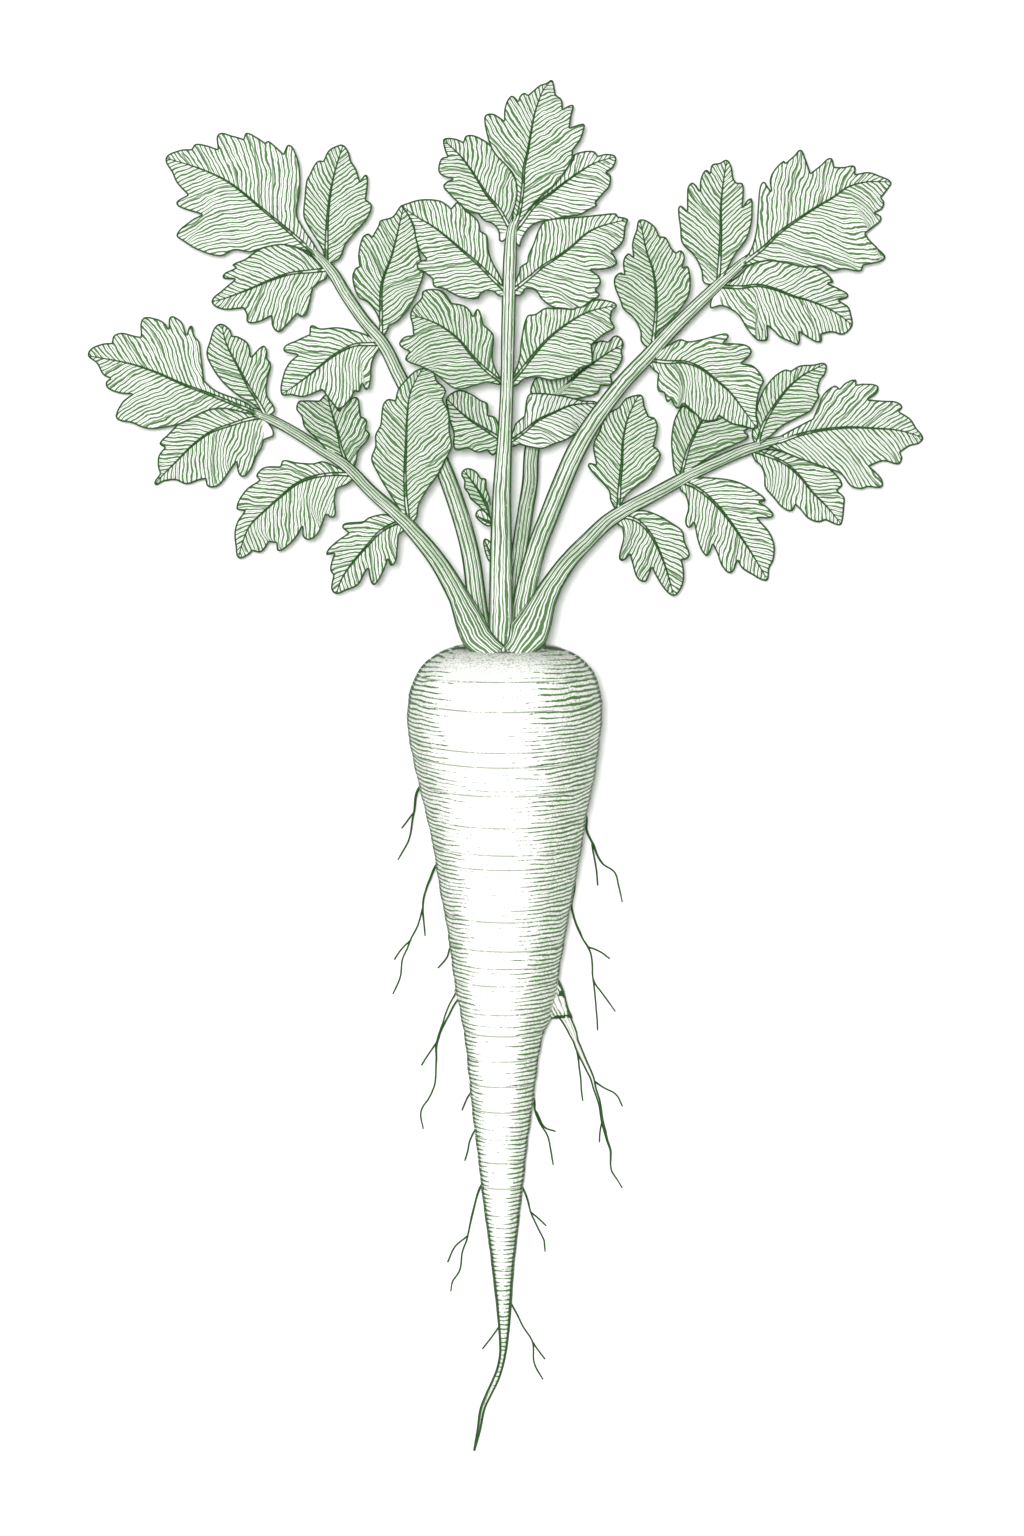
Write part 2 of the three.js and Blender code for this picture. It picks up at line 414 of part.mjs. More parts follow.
        a: [[775, 449], [803, 457], [823, 464], [835, 472], [843, 484], [838, 490], [845, 497], [845, 505],
          [844, 517]],
        b: [[755, 461], [760, 465], [764, 474], [765, 487], [773, 497], [783, 508], [792, 511], [796, 505],
          [801, 510], [808, 518], [818, 522], [826, 520], [838, 525]],
        tipHeight: 3.4, lift: [-1.2, 0.7],
      },
      {
        rib: [[682, 486], [697, 488], [714, 502], [727, 517], [742, 538], [755, 558], [768, 580]],
        a: [[699, 477], [722, 478], [737, 481], [748, 486], [758, 492], [766, 500], [760, 502], [768, 507],
          [774, 515], [770, 518], [758, 518], [770, 532], [775, 545], [774, 560], [770, 568]],
        b: [[680, 490], [685, 495], [688, 507], [685, 522], [689, 528], [694, 523], [699, 545], [706, 556],
          [710, 553], [713, 545], [717, 553], [722, 566], [731, 573], [738, 561], [742, 568], [753, 575],
          [762, 580]],
        tipHeight: 4.6, lift: [0.6, 0.7],
      },
      {
        rib: [[620, 520], [636, 520], [649, 532], [659, 550], [666, 568], [674, 596]],
        a: [[628, 512], [644, 510], [659, 515], [671, 522], [683, 531], [685, 541], [690, 554], [687, 559],
          [682, 560], [684, 568], [684, 581], [680, 591]],
        b: [[617, 524], [622, 528], [623, 538], [620, 550], [619, 559], [623, 561], [630, 555], [632, 563],
          [637, 578], [645, 582], [649, 576], [652, 568], [657, 578], [666, 591]],
        tipHeight: 9, lift: [0.6, 0.7],
      },
    ],
  },
  {
    name: 'leaf_back', colour: 0x67855a,
    stalk: [
      [512, 638.5, 18, 2.7, 2.2], [516, 575, 16.6, 2.4, 2.2], [525, 515, 15.4, 2.3, 2.1],
      [530, 481, 14.8, 2.3, 2], [532, 449, 14.2, 2.2, 1.9], [540, 420, 13.6, 1.8, 1.6],
      [556, 395, 13, 1.2, 1.1], [572, 382, 12.6, 0.8, 0.8],
    ],
    leaflets: [
      {
        rib: [[546, 410], [560, 392], [578, 374], [597, 360], [612, 350], [624, 344]],
        a: [[536, 404], [530, 392], [535, 378], [552, 362], [572, 352], [590, 344], [601, 340], [608, 341],
          [615, 335], [621, 337]],
        b: [[560, 402], [583, 398], [598, 393], [601, 386], [612, 384], [611, 375], [616, 371], [623, 358],
          [622, 350]],
        tipHeight: 11, lift: [0.4, 0.4],
      },
    ],
  },
  {
    name: 'leaf_young', colour: 0x6f8f5f,
    stalk: [
      [502, 644, 26, 1.2, 1.2], [500, 600, 27.2, 1.2, 1.2], [497, 560, 28, 1.1, 1.1],
      [494, 522, 27.6, 1, 1], [490, 505, 27, 0.8, 0.8],
    ],
    leaflets: [
      {
        rib: [[492, 520], [484, 500], [474, 484], [463, 470]],
        a: [[491, 507], [490, 497], [487, 489], [486, 479], [481, 478], [477, 472], [469, 468]],
        b: [[484, 512], [477, 505], [470, 499], [468, 494], [464, 488], [464, 481], [461, 475]],
        tipHeight: 24.6, lift: [0.6, 0.6],
      },
      {
        rib: [[494, 524], [484, 520], [475, 515]],
        a: [[488, 514], [480, 509]],
        b: [[489, 527], [480, 522]],
        tipHeight: 25.6, lift: [0.4, 0.4],
      },
      {
        rib: [[497, 566], [490, 553], [484, 539]],
        a: [[495, 552], [490, 541]],
        b: [[489, 562], [484, 549]],
        tipHeight: 26.4, lift: [0.4, 0.4],
      },
    ],
  },
];

/** A manifold solid from plain arrays of points and triangles. */
function solid(points, triangles) {
  const geometry = new THREE.BufferGeometry();
  geometry.setAttribute('position', new THREE.Float32BufferAttribute(points.flat(), 3));
  geometry.setIndex(triangles.flat());
  const welded = mergeVertices(geometry, 1e-4);
  const mesh = new wasm.Mesh({
    numProp: 3,
    vertProperties: new Float32Array(welded.attributes.position.array),
    triVerts: new Uint32Array(welded.index.array),
  });
  return new wasm.Manifold(mesh);
}

/** Joins a stack of equal rings with flat or pointed ends into one closed solid. */
function stackRings(rings) {
  const sides = rings[0].length;
  const points = rings.flat();
  const triangles = [];
  for (let r = 0; r + 1 < rings.length; r += 1) {
    for (let s = 0; s < sides; s += 1) {
      const here = r * sides + s;
      const next = r * sides + ((s + 1) % sides);
      triangles.push([here, next, here + sides], [next, next + sides, here + sides]);
    }
  }
  const last = (rings.length - 1) * sides;
  for (let s = 1; s + 1 < sides; s += 1) {
    triangles.push([0, s + 1, s], [last, last + s, last + s + 1]);
  }
  return solid(points, triangles);
}

/** An elliptical tube along a path of [column, row, height, half width, half depth]. */
function tube(path, sides, flatStart = false) {
  const centres = path.map(([column, row, height]) => new THREE.Vector3(planX(column), planY(row), height));
  const rings = centres.map((centre, i) => {
    const along = centres[Math.min(i + 1, centres.length - 1)].clone().sub(centres[Math.max(i - 1, 0)]);
    along.normalize();
    const across = new THREE.Vector3(along.y, -along.x, 0).normalize();
    const up = new THREE.Vector3().crossVectors(across, along).normalize();
    const [, , , halfWidth, halfDepth = halfWidth] = path[i];
    const ring = [];
    for (let s = 0; s < sides; s += 1) {
      const turn = ((s + 0.5) / sides) * Math.PI * 2;
      const point = centre.clone();
      point.addScaledVector(across, -Math.cos(turn) * halfWidth);
      point.addScaledVector(up, Math.sin(turn) * halfDepth);
      if (flatStart && i === 0) point.y = centre.y;
      ring.push(point.toArray());
    }
    return ring;
  });
  return stackRings(rings);
}

function stepsOf(line) {
  return line.slice(1).map((p, i) => Math.hypot(p[0] - line[i][0], p[1] - line[i][1]));
}

function lengthOf(line) {
  return stepsOf(line).reduce((sum, step) => sum + step, 0);
}

/** The point at a share of the way along a plan polyline. */
function pointAt(line, share) {
  const steps = stepsOf(line);
  const total = lengthOf(line);
  let left = Math.min(Math.max(share, 0), 1) * total;
  for (let i = 0; i < steps.length; i += 1) {
    if (left <= steps[i] || i === steps.length - 1) {
      const t = Math.min(left / steps[i], 1);
      return [line[i][0] + (line[i + 1][0] - line[i][0]) * t, line[i][1] + (line[i + 1][1] - line[i][1]) * t];
    }
    left -= steps[i];
  }
  return line[line.length - 1];
}

/** Where the side vein that feeds an edge point leaves the midrib, as a share of the midrib. */
function veinRoot(rib, point) {
  let nearest = 0;
  let reach = Infinity;
  const samples = 200;
  for (let i = 0; i <= samples; i += 1) {
    const [x, y] = pointAt(rib, i / samples);
    const distance = Math.hypot(point[0] - x, point[1] - y);
    if (distance < reach) {
      reach = distance;
      nearest = i / samples;
    }
  }
  return Math.max(0, nearest - (VEIN_SLANT * reach) / lengthOf(rib));
}

/** Whether an edge point is the tip of a tooth (1), a notch (-1) or neither (0). */
function toothSign(rib, edge, i) {
  if (i === 0 || i === edge.length - 1) return 0;
  const reachOf = (point) => {
    const foot = pointAt(rib, veinRoot(rib, point));
    return Math.hypot(point[0] - foot[0], point[1] - foot[1]);
  };
  const here = reachOf(edge[i]);
  const around = (reachOf(edge[i - 1]) + reachOf(edge[i + 1])) / 2;
  return Math.max(-1, Math.min(1, (here - around) / 4));
}

function areaOf([px, py], [qx, qy], [rx, ry]) {
  return ((qx - px) * (ry - py) - (rx - px) * (qy - py)) / 2;
}

/** Cuts a plan polygon that turns left into triangles, shortest cut first. */
function clipEars(points) {
  const left = points.map((point, i) => i);
  const triangles = [];
  while (left.length > 2) {
    let best = -1;
    let shortest = Infinity;
    left.forEach((here, i) => {
      const before = left[(i + left.length - 1) % left.length];
      const after = left[(i + 1) % left.length];
      const [p, q, r] = [points[before], points[here], points[after]];
      const cut = Math.hypot(p[0] - r[0], p[1] - r[1]);
      const inside = (n) => areaOf(p, q, n) >= 0 && areaOf(q, r, n) >= 0 && areaOf(r, p, n) >= 0;
      const others = left.filter((n) => n !== before && n !== here && n !== after);
      if (cut < shortest && areaOf(p, q, r) > 1e-6 && !others.some((n) => inside(points[n]))) {
        best = i;
        shortest = cut;
      }
    });
    if (best < 0) throw new Error('a blade outline crosses itself');
    const size = left.length;
    triangles.push([left[(best + size - 1) % size], left[best], left[(best + 1) % size]]);
    left.splice(best, 1);
  }
  return triangles;
}

/** Nearest point of a stalk's centre line, with its height. */
function seatOn(stalk, [column, row]) {
  let seat = null;
  let reach = Infinity;
  const parts = 8;
  for (let i = 0; i + 1 < stalk.length; i += 1) {
    for (let k = 0; k <= parts; k += 1) {
      const mix = (n) => stalk[i][n] + (stalk[i + 1][n] - stalk[i][n]) * (k / parts);
      const distance = Math.hypot(mix(0) - column, mix(1) - row);
      if (distance < reach) {
        reach = distance;
        seat = [mix(0), mix(1), mix(2)];
      }
    }
  }
  return seat;
}

/** One leaflet: a thin blade, folded up from its midrib, with a waved and toothed edge. */
function leaflet({ rib: drawnRib, a, b, tipHeight, lift }, stalk) {
  const seat = seatOn(stalk, drawnRib[0]);
  const rib = [[seat[0], seat[1]], ...drawnRib.slice(1)];
  const tops = [];
  const bottoms = [];
  const add = (x, y, height, drop) => {
    tops.push([planX(x), planY(y), height]);
    bottoms.push([planX(x), planY(y), height - BLADE - drop]);
    return tops.length - 1;
  };
  const baseHeight = seat[2] + BLADE / 2;
  const ribHeight = (share) => baseHeight + (tipHeight - baseHeight) * (share * 0.55 + share * share * 0.45);
  const ribShares = rib.map((point, i) => lengthOf(rib.slice(0, i + 1)) / lengthOf(rib));
  const ribRow = rib.map(([x, y], i) => add(x, y, ribHeight(ribShares[i]), RIB * (1 - ribShares[i])));
  const faces = [];
  const rims = [];

  [[a, lift[0]], [b, lift[1]]].forEach(([edge, raise]) => {
    const edgeRow = edge.map(([x, y], i) => {
      const height = ribHeight(Math.min(1, veinRoot(rib, [x, y]) + TIP_LEAD));
      return add(x, y, height + raise + toothSign(rib, edge, i) * RIPPLE, 0);
    });
    const half = [...ribRow, ...[...edgeRow].reverse()];
    const turnsLeft = THREE.ShapeUtils.area(half.map((i) => new THREE.Vector2(...tops[i]))) > 0;
    if (!turnsLeft) half.reverse();
    clipEars(half.map((i) => tops[i])).forEach((corners) => faces.push(corners.map((i) => half[i])));
    const walk = [ribRow[0], ...edgeRow, ribRow[ribRow.length - 1]];
    rims.push(turnsLeft ? walk.reverse() : walk);
  });

  const count = tops.length;
  const triangles = [];
  faces.forEach(([p, q, r]) => triangles.push([p, q, r], [p + count, r + count, q + count]));
  rims.forEach((walk) => {
    for (let i = 0; i + 1 < walk.length; i += 1) {
      const [p, q] = [walk[i], walk[i + 1]];
      triangles.push([p, p + count, q], [q, p + count, q + count]);
    }
  });
  return solid([...tops, ...bottoms], triangles);
}

/** The root: round slices set on the table, with the rootlets fused to its flanks. */
function taproot() {
  const radiusOf = (left, right) => ((right - left) / 2) * GRID;
  const widest = Math.max(...ROOT_OUTLINE.map(([, left, right]) => radiusOf(left, right)));
  const face = [CROWN_ROW, MID_COLUMN - CROWN_RADIUS / GRID, MID_COLUMN + CROWN_RADIUS / GRID];
  const slices = [face, ...ROOT_OUTLINE];
  const rings = slices.map(([row, left, right]) => {
    const radius = radiusOf(left, right);
    const sink = Math.min(FLAT_SINK, radius * 0.15);
    const height = row < 715 ? widest - FLAT_SINK : radius - sink;
    const lean = CROWN_LEAN * Math.max(0, 1 - (row - CROWN_ROW) / CROWN_LEAN_ROWS);
    const ring = [];
    for (let s = 0; s < ROOT_SIDES; s += 1) {
      const turn = ((s + 0.5) / ROOT_SIDES) * Math.PI * 2;
      const x = planX((left + right) / 2) + Math.cos(turn) * radius;
      ring.push([x, planY(row) - Math.sin(turn) * lean, height + Math.sin(turn) * radius]);
    }
    return ring;
  });
  let body = stackRings(rings);
  ROOTLETS.forEach((path) => {
    body = body.add(tube(path, ROOTLET_SIDES));
  });
  return body.trimByPlane([0, 0, 1], 0);
}

function leaf({ stalk, leaflets }) {
  let body = tube(stalk, STALK_SIDES, true);
  leaflets.forEach((row) => {
    body = body.add(leaflet(row, stalk));
  });
  return body;
}

function toMesh(body, name, colour, roughness) {
  const { vertProperties, triVerts } = body.getMesh();
  const geometry = new THREE.BufferGeometry();
  geometry.setAttribute('position', new THREE.BufferAttribute(new Float32Array(vertProperties), 3));
  geometry.setIndex(new THREE.BufferAttribute(new Uint32Array(triVerts), 1));
  const material = new THREE.MeshStandardMaterial({ color: colour, roughness, metalness: 0 });
  const mesh = new THREE.Mesh(geometry, material);
  mesh.name = name;
  return mesh;
}

const parsnip = new THREE.Group();
parsnip.name = 'parsnip';
parsnip.add(toMesh(taproot(), 'taproot', 0xf0ead8, 0.75));
LEAVES.forEach((row) => parsnip.add(toMesh(leaf(row), row.name, row.colour, 0.6)));

export default parsnip;
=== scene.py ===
# A parsnip with its leaves on, lying on a pale table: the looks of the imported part, inked like the
# line engraving that it is built from. Lengths are in millimetres until a mesh is made. Plan points
# are (column, row) on a square grid that runs to the right and towards the tail.
import math

import bpy
import numpy as np
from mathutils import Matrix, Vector
from mathutils.geometry import delaunay_2d_cdt


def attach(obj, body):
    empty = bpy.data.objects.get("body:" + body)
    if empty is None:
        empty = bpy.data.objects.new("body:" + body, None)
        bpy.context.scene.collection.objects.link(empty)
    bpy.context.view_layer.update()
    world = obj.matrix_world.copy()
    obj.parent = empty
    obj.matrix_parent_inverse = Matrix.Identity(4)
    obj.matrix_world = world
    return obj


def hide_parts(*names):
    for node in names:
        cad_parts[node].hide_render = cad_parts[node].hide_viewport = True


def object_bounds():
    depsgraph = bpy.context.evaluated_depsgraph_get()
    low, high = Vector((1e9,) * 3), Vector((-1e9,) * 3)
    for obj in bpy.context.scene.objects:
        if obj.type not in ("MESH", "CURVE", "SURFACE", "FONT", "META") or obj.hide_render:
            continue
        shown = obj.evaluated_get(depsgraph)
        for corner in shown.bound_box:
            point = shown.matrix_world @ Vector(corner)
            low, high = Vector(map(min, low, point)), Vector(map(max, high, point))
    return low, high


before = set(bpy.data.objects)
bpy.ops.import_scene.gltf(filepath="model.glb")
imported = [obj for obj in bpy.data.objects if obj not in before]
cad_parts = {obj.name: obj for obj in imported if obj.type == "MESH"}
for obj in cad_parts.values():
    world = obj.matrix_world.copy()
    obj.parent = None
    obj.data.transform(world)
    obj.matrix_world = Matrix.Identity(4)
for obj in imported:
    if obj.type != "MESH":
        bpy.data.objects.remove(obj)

CAD_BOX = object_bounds()

MM = 0.001
GRID = 0.28              # mm in one step of the plan grid
GRID_SIZE = (1024, 1536)
MID_COLUMN = 505
REST_ROW = 790

# Root
FLAT_SINK = 0.4          # depth cut off the root's underside by the table
FLAT_ROW = 715           # above this row the root's axis is level
CROWN_RADIUS = 11.3
CROWN_ROW = 646.6
CROWN_LEAN = 1.9         # how far the crown's upper rim leans towards the tail
CROWN_LEAN_ROWS = 24.4   # rows over which that lean fades
CROWN_DISH = [(0.86, 0.5), (0.7, 1.5), (0.45, 2.4), (0.2, 2.8)]   # share of the radius, depth in mm
DISH_DEPTH = 2.9
RING_TILT = 0.18         # how far the root's rings dip towards the tail on its upper side
ROOT_SIDES = 168
ROW_STEP = 0.52          # mm between two rings of points along the root
FINE_ROWS = (1006, 1036, 0.2)   # rows with closer rings, below the big fork, and their step in mm
CREASE_DEPTH, CREASE_WIDTH = 0.2, 0.26
MINOR_DEPTH, MINOR_WIDTH = 0.1, 0.3   # the short creases between
MINOR_STEP = 1.25
FORK_REACH = (-1.0, 13.0, 0.05)   # how far from the plain root a fork's skin is looked for, and the step
RING_PITCH = 1.2         # mm between two inked rings
OUTLINE_SHIFT = 0.18     # how much thinner the outline is on the big part of the root

# Leaves
BLADE = 0.5              # thickness of a blade here
MESH_STEP = 0.62         # spacing of points inside a blade
EDGE_STEP = 0.42         # spacing of points along a blade's edge and veins
JITTER = 0.05            # how far a point inside a blade is shifted at random
EDGE_CLEARANCE, LINE_CLEARANCE = 0.3, 0.28   # how near to the edge and to veins such a point may lie
VEIN_PITCH = 1.0         # distance between fine veins, measured square to them
VEIN_LEAN = (0.7, 1.45)  # how far a side vein leans to the tip for each mm out, at the base and tip
VEIN_BEND = 0.9          # below 1, side veins bend outwards
VEIN_START, VEIN_STOP = 0.25, 0.45   # how far a side vein stays from the leaflet's base and its lobe's tip
VEIN_SPACING = 1.3       # least distance between two side veins on the midrib
VEIN_MISS = 1.6          # how far from its lobe's tip a side vein may end
LAST_VEIN = 0.97         # share of the midrib beyond which no side vein starts
NOTCH_TURN, CORNER_TURN = -18, -32   # an edge that turns in by more degrees has a notch, a sharp corner
VEIN_SLANT = 0.8         # how far a blade's height follows its side veins towards the tip
TIP_LEAD = 0.1           # and how far its edge runs ahead of its midrib
RIPPLE = 0.35            # height of the edge's waves, one for each lobe
QUILT = 0.32             # how far the skin rises between the veins
VEIN_DENT = 0.12
FINE_DENT = 0.05
BUCKLE = 0.22            # height of the slow waves in a blade
THIN_EDGE = 0.15         # how much thinner a blade is at its edge
KEEL, SIDE_KEEL = 0.45, 0.15         # how far the midrib and side veins stand out below
LOWEST_TOP, LOWEST_UNDER = 0.65, 0.12   # nothing of a blade lies lower
RIB_FOOT = 0.45          # how much thicker a midrib is at its foot than at its tip
RIB_TIP = 0.12
FOOT_ROWS = 6            # how far a stalk's foot is sunk in the crown
FURROW = 0.16

# The camera looks straight down from here, in metres.
EYE = 12.0
FOCUS_HEIGHT = 0.022
SENSOR = 36.0
FLOOR = 3.0              # half the width of the table, in metres
FLOOR_DROP = 0.0002

# The root's outline: row, left column, right column.
ROOT_OUTLINE = [
    (648, 452, 559), (650, 445, 565), (653, 438, 573), (657, 431.5, 580), (663, 424, 587), (671, 418, 593),
    (681, 412.5, 597.5), (693, 409, 600.5), (706, 407.5, 602.3), (720, 407.3, 602.3), (735, 408.7, 601),
    (750, 411, 599.2), (768, 414.5, 596.4), (790, 419.8, 592.3), (815, 425.8, 587), (842, 431.4, 582.7),
    (870, 436.6, 577.6), (898, 441.4, 573), (926, 446.3, 567.5), (955, 450.6, 562.6), (985, 454.2, 557),
    (1012, 459.5, 549.8), (1042, 465.2, 542), (1075, 468.2, 536.8), (1110, 472, 532.8), (1150, 476.3, 527),
    (1190, 481.3, 522.8), (1225, 485.8, 519), (1262, 490.8, 515), (1300, 495, 512.2), (1330, 498, 509.7),
    (1352, 499, 507), (1368, 496.5, 503.6), (1382, 491, 499), (1396, 484.6, 492), (1410, 479.3, 485.6),
    (1432, 476.2, 481), (1452, 472.8, 475.4),
]

# Rootlets: column, row, height in mm, radius in mm at each point, root end first.
ROOTLETS = [
    [(436, 776, 9, 0.64), (419, 788, 8, 0.59), (414, 812, 5, 0.49), (409, 837, 2.4, 0.44),
     (398, 860, 0.9, 0.32)],
    [(413, 813, 4.6, 0.44), (402, 828, 2.4, 0.32)],
    [(452, 852, 8, 0.64), (436, 866, 7.4, 0.54), (424, 896, 4.4, 0.47), (423, 908, 3.4, 0.44),
     (425, 936, 1.4, 0.32)],
    [(423, 906, 3.6, 0.44), (418, 924, 2.2, 0.39), (410, 942, 1.4, 0.39), (403, 959, 1.1, 0.36),
     (401, 976, 0.9, 0.34), (393, 994, 0.8, 0.3)],
    [(411, 940, 1.5, 0.36), (399, 952, 1, 0.34), (394, 960, 0.8, 0.3)],
    [(462, 932, 6, 0.49), (450, 947, 5, 0.42), (447, 957, 4, 0.39), (438, 969, 2.6, 0.32)],
    [(469, 982, 6, 1.36), (454, 1001, 5.2, 1.1), (444, 1024, 3.6, 0.7), (437, 1041, 2.4, 0.52),
     (436, 1062, 1.6, 0.44), (434, 1088, 1.1, 0.39), (421, 1112, 0.8, 0.34), (423, 1130, 0.7, 0.3)],
    [(437, 1042, 2.4, 0.44), (421, 1066, 0.9, 0.32)],
    [(480, 1078, 4, 0.44), (470, 1096, 3.2, 0.39), (462, 1111, 2, 0.3)],
    [(484, 1116, 4, 0.44), (473, 1134, 3, 0.39), (464, 1161, 1.6, 0.3)],
    [(492, 1172, 3, 0.54), (480, 1188, 2.6, 0.49), (473, 1212, 1.8, 0.44), (467, 1238, 1.2, 0.42),
     (462, 1252, 1, 0.39), (460, 1270, 0.9, 0.36), (452, 1284, 0.8, 0.34), (450, 1292, 0.7, 0.3)],
    [(467, 1237, 1.2, 0.39), (455, 1247, 1, 0.35), (448, 1263, 0.8, 0.3)],
    [(505, 1318, 1.3, 0.39), (496, 1332, 1, 0.35), (483, 1350, 0.7, 0.3)],
    [(572, 798, 9, 0.64), (586, 816, 7.6, 0.54), (586, 829, 6.4, 0.49), (593, 845, 4.8, 0.47),
     (602, 863, 3, 0.42), (615, 873, 1.8, 0.39), (619, 886, 1.2, 0.35), (623, 902, 0.8, 0.3)],
    [(592, 844, 4.9, 0.39), (596, 866, 3, 0.35), (598, 885, 1.6, 0.3)],
    [(562, 862, 8, 0.64), (574, 880, 7, 0.56), (572, 908, 4.8, 0.49), (581, 936, 2.8, 0.47),
     (589, 948, 2, 0.44), (593, 964, 1.5, 0.39), (593, 979, 1.2, 0.36), (604, 995, 1, 0.34),
     (615, 1012, 0.8, 0.3)],
    [(588, 947, 2, 0.39), (599, 952, 1.4, 0.35), (610, 959, 0.9, 0.3)],
    [(593, 978, 1.2, 0.35), (596, 1001, 0.9, 0.32), (598, 1030, 0.7, 0.3)],
    [(532, 968, 9, 5.2), (550, 990, 7.6, 3.8), (561, 1010, 6, 2.2), (572, 1031, 4.4, 1.4),
     (581.5, 1056, 3, 1.05), (592.5, 1080, 2, 0.8), (599, 1103, 1.5, 0.65), (602, 1122, 1.2, 0.6),
     (610, 1149, 1, 0.5), (612, 1169, 0.8, 0.36), (623, 1189, 0.7, 0.3)],
    [(593, 1081, 2, 0.49), (604, 1088, 1.5, 0.39), (615, 1094, 1, 0.35), (623, 1107, 0.7, 0.3)],
    [(602, 1121, 1.2, 0.39), (599, 1143, 0.8, 0.31)],
    [(573, 1034, 4, 0.54), (578, 1058, 2.6, 0.39), (581, 1083, 1.5, 0.35), (583, 1101, 0.9, 0.3)],
    [(522, 1078, 4.4, 0.59), (534, 1100, 3.4, 0.49), (537, 1118, 2.6, 0.42), (547, 1136, 1.6, 0.39),
     (550, 1148, 1.2, 0.35), (554, 1165, 0.8, 0.3)],
    [(536, 1112, 2.8, 0.39), (544, 1127, 1.8, 0.34), (555, 1132, 1, 0.3)],
    [(512, 1172, 3, 0.54), (524, 1192, 2.4, 0.44), (532, 1216, 1.5, 0.39), (542, 1237, 1, 0.34),
     (546, 1252, 0.7, 0.3)],
    [(531, 1213, 1.6, 0.36), (546, 1226, 0.9, 0.3)],
    [(502, 1290, 1.6, 0.49), (513, 1307, 1.3, 0.42), (523, 1327, 1.1, 0.39), (533, 1344, 0.9, 0.36),
     (534, 1363, 0.8, 0.34), (542, 1380, 0.7, 0.3)],
    [(532, 1342, 0.9, 0.35), (544, 1360, 0.7, 0.3)],
]

